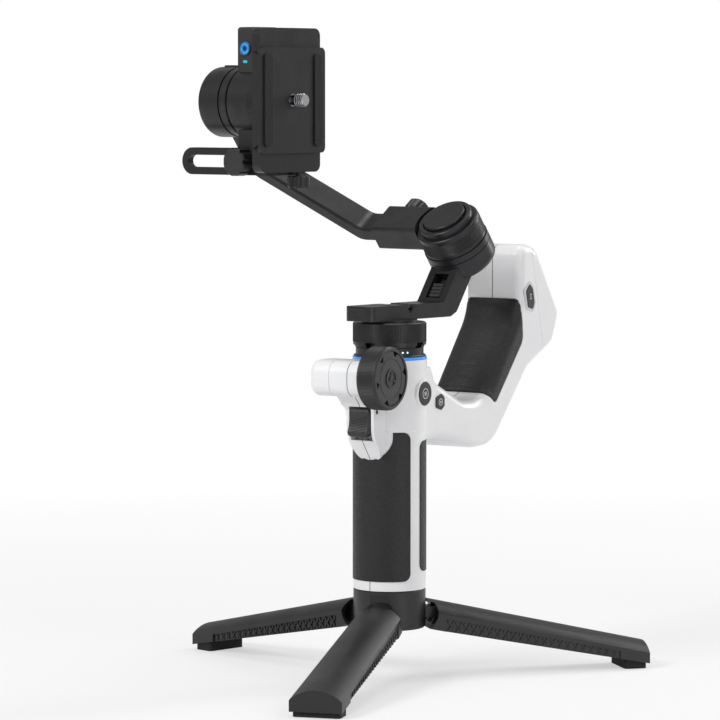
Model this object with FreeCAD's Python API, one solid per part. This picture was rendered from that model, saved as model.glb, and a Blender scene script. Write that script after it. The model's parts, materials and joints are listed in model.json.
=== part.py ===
"""Hand-held three-axis camera gimbal on a folding mini tripod.

Millimetres, +Z up along the handle, lens side towards -Y, control wheel on the +X side.
The origin lies on the handle axis in the plane that the tripod's feet stand on.
"""
import FreeCAD
import Part
import os
from functools import lru_cache
from math import atan2, cos, degrees, hypot, radians, sin, tan

V = FreeCAD.Vector

# ---------------------------------------------------------------- driving dimensions
RUN = 0.05            # radial running clearance of a shaft in its bore
GAP = 0.3             # gap between pieces that move past each other
SEAM = 0.1            # each shell half stops this far from the middle plane

# tripod
HUB_R = 18.6
HUB_BOTTOM = 25.3
HUB_TOP = 45.6
LEG_AZIMUTHS = (-72.5, 47.5, 167.5)
LEG_PIVOT_R = 13.0
LEG_PIVOT_Z = 33.5
LEG_ROOT_R = 18.9
LEG_END_R = 137.1
LEG_ROOT_HALF_W = 12.0
LEG_END_HALF_W = 13.3
LEG_WALL = 2.0
LEG_ROOT_Z = (24.6, 33.5, 39.6)     # lower edge, shoulder, crown
LEG_END_Z = (2.6, 8.2, 13.4)
LEG_RIB_PITCH = 9.0
LEG_RIB = 1.4
LEG_FOLD = 72.0       # full fold, from standing to hanging under the hub
LEG_FOLD_GAP = 0.4    # from a folded leg to the plane halfway to its neighbour
KNUCKLE_HALF_W = 4.8
KNUCKLE_R = 4.6
PIN_R = 1.6
PAD_R = 129.8         # foot pad centre, from the handle axis
PAD_HALF_L = 6.0
PAD_T = 2.4
STUD_R = 3.175        # 1/4 inch thread
STUD_TOP = 55.0
INSERT_R = 5.0

# handle
GRIP_R = 18.6
HEAD_R = 19.2
HEAD_BOTTOM = 127.0
HEAD_TOP = 163.5
RUBBER_R = 18.95
RUBBER_T = 1.45
WALL = 2.4
CAVITY_R = 15.6
HEAD_CAVITY_R = 12.5
FRONT_PAD = (50.6, 127.0, 67.0)     # bottom, top, half angle
REAR_PAD = (55.0, 122.0, 92.0)
PAD_CORNER = 4.0
NOSE_CUT_R = 11.6                   # round cut in the front pad below the trigger
NOSE_CUT_Z = 124.6

# control barrel, wheel, nose and trigger
BARREL_X = (-23.0, 8.0)
BARREL_Y = (-40.0, -16.0)
BARREL_Z = (146.0, 164.4)
BARREL_ROUND = 7.0
BARREL_CAP_L = 12.0
WHEEL_R = 16.0
WHEEL_X = (8.6, 20.0)
WHEEL_Y = -29.5
WHEEL_Z = 156.0
WHEEL_POCKET = 0.6
WHEEL_SHAFT_R = 3.0
NOSE_HALF_W = 8.2
NOSE_FRONT_Y = -27.8
TRIGGER_HALF_W = 6.3
TRIGGER_PIVOT = (-24.6, 138.2)
TRIGGER_PIN_R = 1.2
TRIGGER_TOP_Z = 140.4
TRIGGER_LOW_Z = 125.4
TRIGGER_CORNER = 3.0

# side buttons
BUTTON_YZ = (2.0, 146.3)
BUTTON_R = 6.1
BEZEL_R = 7.4
BEZEL_X = (13.0, 20.2)
FUNCTION_YZ = (20.5, 140.6)
FUNCTION_SIZE = (8.4, 8.6)
TAIL_BUTTON_YZ = (111.5, 190.4)
TAIL_BUTTON_SIZE = (10.4, 17.6)
TAIL_LEAN = 14.0      # lean of the tail's back seam from upright, degrees

# tail
SHELL_SCREWS = ((46.0, 127.0), (88.0, 142.0), (112.5, 171.0), (108.5, 207.0))
SCREW_BOSS_R = 3.4
ACCESSORY_R = 3.2     # threaded accessory hole on the -X side
ACCESSORY_L = 6.0
ACCESSORY_YZ = (5.0, 146.2)
BATTERY_R = 9.2
BATTERY_Z = (60.0, 125.0)
TAIL_HALF_W = 17.5
TAIL_ROUND = 5.0
TAIL_INNER_Y = 102.3
SEAM_LOW = (126.8, 159.2)           # ends of the back cover's seam in (y, z)
SEAM_TOP = (113.4, 218.5)
SCREEN_LOW = (145.8, 180.5)         # ends of the slope that carries the screen
SCREEN_TOP = (120.5, 216.5)
PANEL_HALF_W = 12.5
PANEL_Y = (-17.4, 15.0)             # along the slope, downhill from its middle
PANEL_ROUND = 3.5
SCREEN_TOP_Y = -5.2
JOY_Y = -11.2
JOY_WELL_R = 5.0
JOY_DEPTH = 5.2
JOY_PIVOT = -3.6
JOY_RING_R = 3.9
GRIP_DEPTH = 1.2
GRIP_PROUD = 0.3

# pan joint
PAN_LOCK_HALF_W = 2.6
PAN_LOCK_Z = (166.9, 169.4)
PAN_LOCK_LIFT = 2.4
COLLAR_R = 17.4
COLLAR_TOP = 169.6
SPIGOT_R = 14.8
SPIGOT_BOTTOM = 159.0
LIGHT_R = 19.0
LIGHT_T = 1.5
SHAFT_R = 4.0
PAN_R = 18.7
PAN_TOP = 182.6
PAN_STEP = 1.1         # height of the narrower step under the ridged drum
PAN_REST = -7.5       # head turned this far about Z in the stored pose

# head, in its own frame before PAN_REST is applied
ARM_BOTTOM = 183.7
ARM_T = 7.6
ARM_HALF_W = 9.0
ARM_FRONT_Y = -26.5
ARM_BEND_Y = 33.0     # where the slanted arm's inner face leaves the plate's top
ARM_SLOPE = 56.0
ARM_DEPTH = 11.6
ARM_CHANNEL = (2.5, 17.0)           # along the slanted arm's inner face
ARM_CHANNEL_HALF_W = 4.6
ARM_CHANNEL_DEPTH = 5.5
ROLL_TILT = 53.5      # roll axis above level
ROLL_Y = 53.5
TILT_Z = 294.5        # the three axes meet on the handle axis at this height
ROLL_R = 17.5
ROLL_REAR = -15.0     # along the roll axis from the face between stator and drum
ROLL_GROOVE = -3.6
DRUM_R = 17.0
DRUM_END = 12.0
ROLL_RING_R = 14.6
ROLL_RING_END = 15.4
ROLL_CAP_R = 11.4
ROLL_CAP_END = 17.0
REAR_CAP_R = 11.0
BAR_T = 8.0           # roll arm: thickness along the roll axis
BAR_W = 15.0
BAR_LEVEL = 7.8       # roll arm's bar, along the roll axis
BAR_END_X = -24.0
BAR_INWARD = 2.5      # how far the bar can slide in towards the drum
BAR_BEND_X = -56.0
SLEEVE_X = (-44.0, -14.0)
SLEEVE_WALL = 3.0
SLEEVE_KNOB_X = -32.0
SIDE_X = -110.0       # roll arm's side member
SIDE_BEND = 50.0      # along the roll axis

TILT_R = 18.6
STATOR_X = (-118.0, -102.6)
TILT_RING_R = 15.0
TILT_CAP_R = 12.0
TILT_LOCK_X = (-112.0, -105.5)
TILT_LOCK_HALF_W = 2.5
ROTOR_X = (-96.5, -76.4)
MODULE_X = (-96.5, -83.8)
MODULE_Y = (-10.0, 9.0)
MODULE_Z = (300.0, 333.7)
LENS_R = 3.65
LENS_X = -90.4
LENS_Z = 322.5
LAMP_Z = 315.6
LUG_X = (-94.0, -78.0)
LUG_Y = (-11.5, -3.0)
LUG_Z = (257.0, 284.0)
BRACKET_KNOB_X = -86.0

BRACKET_X = (-76.1, -70.2)
BRACKET_Y = (-16.2, 14.0)
BRACKET_Z = (256.4, 324.0)
LOOP_X = -130.0
LOOP_Z = (256.4, 270.6)
LOOP_T = 4.4
SLOT_END_X = -79.0
LOOP_WALL = 3.9
BASE_X = (-70.2, -64.6)
BASE_Y = (-27.0, 20.0)
BASE_Z = (258.0, 333.0)
PLATE_X = (-68.3, -62.8)
PLATE_Y = (-29.0, 22.0)
PLATE_Z = (272.5, 318.5)
PLATE_LAP = 4.5       # how far the plate's face covers the base's rails
DOVETAIL = 2.2
PLATE_SLOT_HALF_L = 10.0
SCREW_R = 3.175       # camera screw, 1/4 inch thread
SCREW_HEAD_R = 6.8
SCREW_NECK_R = 2.6
SCREW_LIFT = 0.3       # the thread starts this far above the plate's face
SCREW_TIP_X = -57.0
KNOB_R = 6.5
KNOB_SHAFT_R = 3.0
BASE_KNOB_Y = 6.0
BASE_KNOB_SHAFT_R = 1.5
PLATE_PAD_T = 0.8


# ---------------------------------------------------------------- helpers
def cylinder(radius, start, end):
    """Cylinder from point start to point end."""
    start, end = V(*start), V(*end)
    along = end - start
    return Part.makeCylinder(radius, along.Length, start, along)


def box(x, y, z):
    """Box from three (low, high) pairs."""
    return Part.makeBox(x[1] - x[0], y[1] - y[0], z[1] - z[0], V(x[0], y[0], z[0]))


def outline(corners, put):
    """Closed wire through corners (u, v, radius); put(u, v) is the point in space."""
    flat = []
    count = len(corners)
    for i, (u, v, radius) in enumerate(corners):
        here = V(u, v, 0)
        back = V(corners[i - 1][0] - u, corners[i - 1][1] - v, 0).normalize()
        ahead = V(corners[(i + 1) % count][0] - u, corners[(i + 1) % count][1] - v, 0).normalize()
        if radius == 0:
            flat.append((here, None, here))
            continue
        half = back.getAngle(ahead) / 2
        middle = here + (back + ahead).normalize() * (radius / sin(half) - radius)
        reach = radius / tan(half)
        flat.append((here + back * reach, middle, here + ahead * reach))
    edges = []
    for i, (start, middle, end) in enumerate(flat):
        if middle is not None:
            edges.append(Part.Arc(put(start.x, start.y), put(middle.x, middle.y), put(end.x, end.y)).toShape())
        after = flat[(i + 1) % count][0]
        if (after - end).Length > 1e-6:
            edges.append(Part.LineSegment(put(end.x, end.y), put(after.x, after.y)).toShape())
    return Part.Wire(edges)


def side_prism(corners, x):
    """(y, z) outline pushed along X over the range x."""
    face = Part.Face(outline(corners, lambda u, v: V(x[0], u, v)))
    return face.extrude(V(x[1] - x[0], 0, 0))


def front_prism(corners, y):
    """(x, z) outline pushed along Y over the range y."""
    face = Part.Face(outline(corners, lambda u, v: V(u, y[0], v)))
    return face.extrude(V(0, y[1] - y[0], 0))


def plan_prism(corners, z):
    """(x, y) outline pushed along Z over the range z."""
    face = Part.Face(outline(corners, lambda u, v: V(u, v, z[0])))
    return face.extrude(V(0, 0, z[1] - z[0]))


def rounded(low, high, radius):
    """Corners of an upright rectangle with one corner radius."""
    return [(low[0], low[1], radius), (high[0], low[1], radius), (high[0], high[1], radius), (low[0], high[1], radius)]


def moved(shape, dx=0.0, dy=0.0, dz=0.0):
    copy = shape.copy()
    copy.translate(V(dx, dy, dz))
    return copy


def turned(shape, angle, about=(0, 0, 0), axis=(0, 0, 1)):
    copy = shape.copy()
    copy.rotate(V(*about), V(*axis), angle)
    return copy


def fillet(shape, radius, wanted):
    """Rounds the edges for which wanted(edge) is true."""
    return shape.makeFillet(radius, [edge for edge in shape.Edges if wanted(edge)])


def chamfer(shape, size, wanted):
    return shape.makeChamfer(size, [edge for edge in shape.Edges if wanted(edge)])


def rim(x=None, y=None, z=None):
    """True for a closed circle edge whose centre has the given coordinate."""
    def wanted(edge):
        if not isinstance(edge.Curve, Part.Circle) or not edge.isClosed():
            return False
        centre = edge.Curve.Center
        pairs = ((x, centre.x), (y, centre.y), (z, centre.z))
        return all(goal is None or abs(goal - value) < 1e-4 for goal, value in pairs)
    return wanted


def flat_at(axis, value):
    """True for an edge that lies wholly in the plane axis = value."""
    def wanted(edge):
        low = getattr(edge.BoundBox, axis + "Min")
        high = getattr(edge.BoundBox, axis + "Max")
        return abs(low - value) < 1e-3 and abs(high - value) < 1e-3
    return wanted


def one(shape):
    """The shape as a plain solid, with faces in one plane merged."""
    clean = shape.removeSplitter()
    return clean.Solids[0] if len(clean.Solids) == 1 else clean


# ---------------------------------------------------------------- tripod
def leg_section(radius, half_w, heights, inset=0.0):
    """Arched leg section in the plane x = radius."""
    low, shoulder, crown = heights
    half_w = half_w - inset
    shoulder = shoulder - inset
    crown = crown - inset
    if inset:
        low = low - 1.0
    points = [V(radius, -half_w, low), V(radius, half_w, low), V(radius, half_w, shoulder), V(radius, -half_w, shoulder)]
    edges = [Part.LineSegment(points[3], points[0]).toShape(), Part.LineSegment(points[0], points[1]).toShape(),
             Part.LineSegment(points[1], points[2]).toShape(),
             Part.Arc(points[2], V(radius, 0, crown), points[3]).toShape()]
    return Part.Wire(edges)


def leg_loft(inset):
    return Part.makeLoft([leg_section(LEG_ROOT_R + inset, LEG_ROOT_HALF_W, LEG_ROOT_Z, inset),
                          leg_section(LEG_END_R - inset, LEG_END_HALF_W, LEG_END_Z, inset)], True, True)


def leg_low_z(radius):
    """Height of the leg's lower edge at a distance from the handle axis."""
    share = (radius - LEG_ROOT_R) / (LEG_END_R - LEG_ROOT_R)
    return LEG_ROOT_Z[0] + share * (LEG_END_Z[0] - LEG_ROOT_Z[0])


def leg_ribs():
    """Waffle of thin walls that stiffens the underside."""
    ribs = []
    inner = leg_loft(LEG_WALL)
    slope = (LEG_END_Z[0] - LEG_ROOT_Z[0]) / (LEG_END_R - LEG_ROOT_R)
    depth = 4.0
    count = int((LEG_END_R - LEG_ROOT_R) / LEG_RIB_PITCH)
    for i in range(1, count):
        radius = LEG_ROOT_R + i * LEG_RIB_PITCH
        low = leg_low_z(radius) + 0.8
        ribs.append(box((radius - LEG_RIB / 2, radius + LEG_RIB / 2), (-LEG_END_HALF_W, LEG_END_HALF_W), (low, low + 30)))
    for across in (-LEG_END_HALF_W / 3, LEG_END_HALF_W / 3):
        low = LEG_ROOT_Z[0] + 0.8
        run = LEG_END_R - LEG_ROOT_R
        ribs.append(side_walls(across, low, run, slope, depth))
    waffle = ribs[0].multiFuse(ribs[1:])
    return waffle.common(inner)


def side_walls(across, low, run, slope, depth):
    """One long wall under the leg, following its slope."""
    start = LEG_ROOT_R
    points = [V(start, across - LEG_RIB / 2, low), V(start + run, across - LEG_RIB / 2, low + slope * run),
              V(start + run, across - LEG_RIB / 2, low + slope * run + depth + 26), V(start, across - LEG_RIB / 2, low + depth + 26)]
    face = Part.Face(Part.makePolygon(points + [points[0]]))
    return face.extrude(V(0, LEG_RIB, 0))


def swing_clear():
    """Radius about the fold pivot that stays clear of the hub's lower edge."""
    return hypot(HUB_R - LEG_PIVOT_R, LEG_PIVOT_Z - HUB_BOTTOM) + GAP


def folded_neighbours():
    """Space past the planes halfway to the other legs when all are folded, turned back to the standing leg."""
    half = 180.0 / len(LEG_AZIMUTHS)
    reach = 60.0
    low, high = LEG_PIVOT_Z - LEG_END_R - reach, LEG_PIVOT_Z + reach
    block = box((-reach, LEG_END_R), (-LEG_FOLD_GAP, reach * 2), (low, high))
    wedge = turned(block, half)
    other = wedge.mirror(V(0, 0, 0), V(0, 1, 0))
    pivot = (LEG_PIVOT_R, 0, LEG_PIVOT_Z)
    return [turned(side, -LEG_FOLD, pivot, (0, 1, 0)) for side in (wedge, other)]


@lru_cache(None)
def leg():
    """Arched leg, open and ribbed underneath, with the knuckle that folds in the hub."""
    outer = leg_loft(0.0)
    shell = outer.cut(leg_loft(LEG_WALL)).fuse(leg_ribs())
    knuckle = cylinder(KNUCKLE_R, (LEG_PIVOT_R, -KNUCKLE_HALF_W, LEG_PIVOT_Z), (LEG_PIVOT_R, KNUCKLE_HALF_W, LEG_PIVOT_Z))
    neck = box((LEG_PIVOT_R, LEG_PIVOT_R + swing_clear() + 5.0), (-KNUCKLE_HALF_W, KNUCKLE_HALF_W),
               (LEG_PIVOT_Z - KNUCKLE_R + 1.0, LEG_PIVOT_Z + 2.0))
    swing = cylinder(swing_clear(), (LEG_PIVOT_R, -20, LEG_PIVOT_Z), (LEG_PIVOT_R, 20, LEG_PIVOT_Z))
    shell = shell.cut(swing.common(box((0, 60), (-20, 20), (0, LEG_PIVOT_Z + 4.4))))
    bore = cylinder(PIN_R + RUN, (LEG_PIVOT_R, -20, LEG_PIVOT_Z), (LEG_PIVOT_R, 20, LEG_PIVOT_Z))
    pad_seat = box((PAD_R - PAD_HALF_L, PAD_R + PAD_HALF_L), (-LEG_END_HALF_W, LEG_END_HALF_W), (-5, PAD_T))
    body = shell.fuse(knuckle).fuse(neck).cut(bore).cut(pad_seat)
    return one(body.cut(folded_neighbours()))


def foot_pad():
    """Rubber block under the leg's end, standing on the floor plane."""
    corners = rounded((PAD_R - PAD_HALF_L, -LEG_END_HALF_W + 1.2), (PAD_R + PAD_HALF_L, LEG_END_HALF_W - 1.2), 2.0)
    block = plan_prism(corners, (0.0, leg_low_z(PAD_R) + 4.0))
    return one(block.cut(leg()))


def hub():
    body = cylinder(HUB_R, (0, 0, HUB_BOTTOM), (0, 0, HUB_TOP))
    body = chamfer(body, 0.8, rim(z=HUB_BOTTOM))
    body = chamfer(body, 0.5, rim(z=HUB_TOP))
    slot_half = KNUCKLE_HALF_W + GAP
    inner = LEG_PIVOT_R - KNUCKLE_R - GAP
    for azimuth in LEG_AZIMUTHS:
        slot = box((inner, HUB_R + 5), (-slot_half, slot_half), (HUB_BOTTOM - 1, LEG_PIVOT_Z + KNUCKLE_R + GAP))
        window = box((HUB_R - 1.0, HUB_R + 5), (-slot_half, slot_half), (LEG_PIVOT_Z + KNUCKLE_R + GAP, HUB_TOP - 2.4))
        pin = cylinder(PIN_R, (LEG_PIVOT_R, -11.0, LEG_PIVOT_Z), (LEG_PIVOT_R, 11.0, LEG_PIVOT_Z))
        for tool in (slot, window, pin):
            body = body.cut(turned(tool, azimuth))
    stud = chamfer(cylinder(STUD_R, (0, 0, HUB_TOP - 1), (0, 0, STUD_TOP)), 0.6, rim(z=STUD_TOP))
    return one(body.fuse(stud))


def leg_pin():
    return cylinder(PIN_R, (LEG_PIVOT_R, -11.0, LEG_PIVOT_Z), (LEG_PIVOT_R, 11.0, LEG_PIVOT_Z))


# ---------------------------------------------------------------- handle rubbers
def wrap(bottom, top, y_range):
    """Rubber layer round the grip between two planes of Y, with rounded corners."""
    tube = cylinder(RUBBER_R, (0, 0, bottom), (0, 0, top)).cut(
        cylinder(RUBBER_R - RUBBER_T, (0, 0, bottom - 1), (0, 0, top + 1)))
    far, edge = y_range
    flank = [(far, bottom, 0), (far, top, 0), (edge, top, PAD_CORNER), (edge, bottom, PAD_CORNER)]
    return tube.common(side_prism(flank, (-30, 30)))


@lru_cache(None)
def front_pad():
    bottom, top, half_angle = FRONT_PAD
    body = wrap(bottom, top, (-30, -RUBBER_R * cos(radians(half_angle))))
    body = body.cut(cylinder(NOSE_CUT_R, (0, -40, NOSE_CUT_Z), (0, 0, NOSE_CUT_Z)))
    return one(body.cut(box((-NOSE_CUT_R, NOSE_CUT_R), (-40, 0), (NOSE_CUT_Z, top + 10))))


@lru_cache(None)
def rear_pad():
    bottom, top, half_angle = REAR_PAD
    return one(wrap(bottom, top, (30, RUBBER_R * cos(radians(half_angle)))))


# ---------------------------------------------------------------- tail
def tail_corners():
    """Side outline of the tail: root, slanted grip and upright end, cut off at its back seam."""
    return [(4, 121.5, 0), (22, 121.5, 12), (58, 113.6, 26), (76, 114.4, 20), (112, 152.5, 12), SEAM_LOW + (0,),
            SEAM_TOP + (0,), (TAIL_INNER_Y, SEAM_TOP[1], 7), (TAIL_INNER_Y, 182.5, 26), (67.0, 138.2, 22),
            (46, 139.4, 22), (19, 151.2, 8), (15, 159, 0), (4, 159, 0)]


def cover_corners():
    """Side outline of the back cover, whose upper face carries the screen."""
    return [(SEAM_LOW[0] + SEAM * 2, SEAM_LOW[1] + 0.1, 0), (138.2, 164.2, 8), SCREEN_LOW + (9,), SCREEN_TOP + (6,),
            (SEAM_TOP[0] + SEAM * 2, SEAM_TOP[1], 0)]


def soft_prism(corners, half_w, radius):
    """Side outline pushed to both sides, its outer edges rounded apart from the seam's and those in the head."""
    body = side_prism(corners, (-half_w, half_w))

    def outer(edge):
        on_flank = flat_at("X", half_w)(edge) or flat_at("X", -half_w)(edge)
        on_seam = isinstance(edge.Curve, Part.Line) and edge.Length > SEAM_TOP[1] - SEAM_LOW[1] - 1
        return on_flank and not on_seam and edge.BoundBox.YMax > 16.5
    return fillet(body, radius, outer)


def hollow(corners, half_w):
    """Inner space of a shell: the outline moved in by the wall."""
    face = Part.Face(outline(corners, lambda u, v: V(WALL - half_w, u, v)))
    inner = face.makeOffset2D(-WALL)
    return inner.extrude(V(2 * (half_w - WALL), 0, 0))


@lru_cache(None)
def tail_form():
    return soft_prism(tail_corners(), TAIL_HALF_W, TAIL_ROUND)


def grip_shift(shape, depth):
    """Moves a shape out of the slanted grip's inner face by depth."""
    return moved(shape, 0, -0.75 * depth, 0.66 * depth)


@lru_cache(None)
def tail_grip():
    """Rubber skin let into the inner side of the tail."""
    skin = grip_shift(soft_prism(tail_corners(), TAIL_HALF_W + GRIP_PROUD, TAIL_ROUND), GRIP_PROUD)
    core = grip_shift(soft_prism(tail_corners(), TAIL_HALF_W - GRIP_DEPTH, TAIL_ROUND - GRIP_DEPTH), -GRIP_DEPTH)
    region = side_prism([(57, 149.4, 0), (76.5, 135.6, 3), (105.2, 167.6, 8), (TAIL_INNER_Y + 1, 190.6, 3),
                         (80, 190.6, 0)], (-30, 30))
    return one(skin.cut(core).common(region))


def on_screen(shape):
    """Places a shape drawn about the origin, +Z outwards and +Y downhill, on the back cover's upper face."""
    fall = degrees(atan2(SCREEN_TOP[1] - SCREEN_LOW[1], SCREEN_LOW[0] - SCREEN_TOP[0]))
    middle = ((SCREEN_LOW[0] + SCREEN_TOP[0]) / 2, (SCREEN_LOW[1] + SCREEN_TOP[1]) / 2)
    return moved(turned(shape, -fall, axis=(1, 0, 0)), 0, *middle)


def panel_slab(inset, low, z):
    """Rounded slab on the slope, from low along the slope to its lower end."""
    half, high = PANEL_HALF_W - inset, PANEL_Y[1] - inset
    return on_screen(plan_prism(rounded((-half, low + inset), (half, high), PANEL_ROUND), z))


def joystick_cup(radius, z):
    return on_screen(cylinder(radius, (0, JOY_Y, z[0]), (0, JOY_Y, z[1])))


def control_panel():
    """Black panel with the screen's seat and the well of the joystick."""
    body = panel_slab(0, PANEL_Y[0], (-2.0, 0.35))
    body = body.fuse(joystick_cup(JOY_WELL_R + 1.2, (-JOY_DEPTH - 1.6, -1)))
    body = body.cut(joystick_cup(JOY_WELL_R, (-JOY_DEPTH, 1)))
    return one(body.cut(panel_slab(1.2, SCREEN_TOP_Y, (-0.9, 1))))


def screen_glass():
    return one(panel_slab(1.2, SCREEN_TOP_Y, (-0.9, 0.2)))


def joystick_ring():
    """Gimbal ring at the foot of the stick, turning about X."""
    ring = cylinder(JOY_RING_R, (0, JOY_Y, JOY_PIVOT - 0.7), (0, JOY_Y, JOY_PIVOT + 0.7))
    ring = ring.cut(cylinder(JOY_RING_R - 0.9, (0, JOY_Y, -9), (0, JOY_Y, 0)))
    for side in (-1, 1):
        ring = ring.fuse(cylinder(0.4, (side * (JOY_RING_R - 0.5), JOY_Y, JOY_PIVOT),
                                  (side * (JOY_WELL_R - RUN), JOY_Y, JOY_PIVOT)))
    return on_screen(one(ring))


def joystick():
    """Stick and cap, turning in the ring about an axis across it."""
    stem = cylinder(1.1, (0, JOY_Y, JOY_PIVOT - 0.6), (0, JOY_Y, 1.0))
    cap = cylinder(3.4, (0, JOY_Y, 0.9), (0, JOY_Y, 2.5))
    cap = fillet(cap, 0.6, rim(z=2.5)).cut(Part.makeSphere(5.0, V(0, JOY_Y, 7.0)))
    arms = cylinder(0.4, (0, JOY_Y - JOY_RING_R + 0.9 + RUN, JOY_PIVOT), (0, JOY_Y + JOY_RING_R - 0.9 - RUN, JOY_PIVOT))
    return on_screen(one(stem.fuse(cap).fuse(arms)))


def tail_cover():
    body = soft_prism(cover_corners(), TAIL_HALF_W, TAIL_ROUND)
    inner = hollow(cover_corners(), TAIL_HALF_W)
    body = body.cut(inner)
    body = body.cut(panel_slab(0, PANEL_Y[0], (-2.0, 3)))
    return one(body.cut(joystick_cup(JOY_WELL_R + 1.2, (-JOY_DEPTH - 1.6, 5))))


# ---------------------------------------------------------------- handle shells
def barrel_form():
    corners = rounded((BARREL_Y[0], BARREL_Z[0]), (BARREL_Y[1], BARREL_Z[1]), BARREL_ROUND)
    body = side_prism(corners, BARREL_X)
    return fillet(body, 3.0, flat_at("X", BARREL_X[0]))


def nose_form():
    """Flared block under the barrel that carries the trigger and runs out on the grip."""
    half = NOSE_HALF_W
    low, high = NOSE_CUT_Z - NOSE_CUT_R, BARREL_Z[0] + 3
    face = [(-half - 13, high, 0), (-half - 6, high - 4.6, 7), (-half, high - 9.5, 9), (-half, low + 6, 0),
            (-half + 2, low, 4), (half - 2, low, 4), (half, low + 6, 0), (half, high, 0)]
    flank = [(-12, low - 3, 0), (-12, high, 0), (-36, high, 0), (NOSE_FRONT_Y, 141.5, 8), (NOSE_FRONT_Y, 126, 10),
             (-18.2, low, 6)]
    return front_prism(face, (-40, -10)).common(side_prism(flank, (-40, 40)))


def wheel_pocket():
    """Room for the wheel beside the head."""
    return cylinder(WHEEL_R + WHEEL_POCKET, (BARREL_X[1], WHEEL_Y, WHEEL_Z), (WHEEL_X[1] + 12, WHEEL_Y, WHEEL_Z))


def trigger_slot():
    half = TRIGGER_HALF_W + GAP
    return box((-half, half), (-45, TRIGGER_PIVOT[0] + 4.4), (TRIGGER_LOW_Z - 2.0, TRIGGER_TOP_Z + GAP))


def hexagon(size, lean, radius):
    """Elongated hexagon about the origin in (y, z), leaning back at the top."""
    wide, tall = size[0] / 2, size[1] / 2
    points = [(wide, -tall * 0.55), (wide, tall * 0.55), (wide * 0.35, tall), (-wide, tall * 0.62), (-wide, -tall * 0.62),
              (wide * 0.35, -tall)]
    back = radians(lean)
    return [(u * cos(back) - v * sin(back), u * sin(back) + v * cos(back), radius) for u, v in points]


def side_button(centre, size, lean, radius, x, shrink=0.0):
    small = (size[0] - 2 * shrink, size[1] - 2 * shrink)
    corners = [(centre[0] + u, centre[1] + v, r) for u, v, r in hexagon(small, lean, radius)]
    return side_prism(corners, x)


def mode_bezel():
    ring = cylinder(BEZEL_R, (BEZEL_X[0], *BUTTON_YZ), (BEZEL_X[1], *BUTTON_YZ))
    ring = fillet(ring, 0.8, rim(x=BEZEL_X[1]))
    return one(ring.cut(cylinder(BUTTON_R + 2 * RUN, (BEZEL_X[0] - 1, *BUTTON_YZ), (BEZEL_X[1] + 1, *BUTTON_YZ))))


def mode_button():
    cap = cylinder(BUTTON_R, (BEZEL_X[0] + 1.5, *BUTTON_YZ), (BEZEL_X[1] + 0.3, *BUTTON_YZ))
    return fillet(cap, 0.5, rim(x=BEZEL_X[1] + 0.3))


def function_button():
    top = TAIL_HALF_W + 0.7
    body = side_button(FUNCTION_YZ, FUNCTION_SIZE, 0, 1.2, (TAIL_HALF_W - 2.2, top), 2 * RUN)
    return chamfer(body, 0.3, flat_at("X", top))


def tail_bezel():
    top = TAIL_HALF_W + 0.5
    body = side_button(TAIL_BUTTON_YZ, TAIL_BUTTON_SIZE, TAIL_LEAN, 1.8, (TAIL_HALF_W - 2.2, top))
    body = chamfer(body, 0.3, flat_at("X", top))
    hole = side_button(TAIL_BUTTON_YZ, TAIL_BUTTON_SIZE, TAIL_LEAN, 1.4, (0, top + 1), 1.6)
    return one(body.cut(hole))


def tail_button():
    top = TAIL_HALF_W + 0.9
    body = side_button(TAIL_BUTTON_YZ, TAIL_BUTTON_SIZE, TAIL_LEAN, 1.4, (TAIL_HALF_W - 1.8, top), 1.6 + 2 * RUN)
    return chamfer(body, 0.3, flat_at("X", top))


def shell_screws():
    """Four like screws that clamp the shell halves, put in from the -X side."""
    screws = []
    for y, z in SHELL_SCREWS:
        head = cylinder(2.1, (-TAIL_HALF_W + 0.5, y, z), (-TAIL_HALF_W + 2.4, y, z))
        head = head.cut(cylinder(0.9, (-TAIL_HALF_W, y, z), (-TAIL_HALF_W + 1.6, y, z)))
        screws.append(head.fuse(cylinder(0.9, (-TAIL_HALF_W + 2.4, y, z), (10, y, z))))
    return Part.makeCompound(screws)


def screw_recesses():
    """Open counterbores over the shell screws."""
    return Part.makeCompound([cylinder(2.1, (-TAIL_HALF_W - 1, y, z), (-TAIL_HALF_W + 2.4, y, z))
                              for y, z in SHELL_SCREWS])


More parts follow.
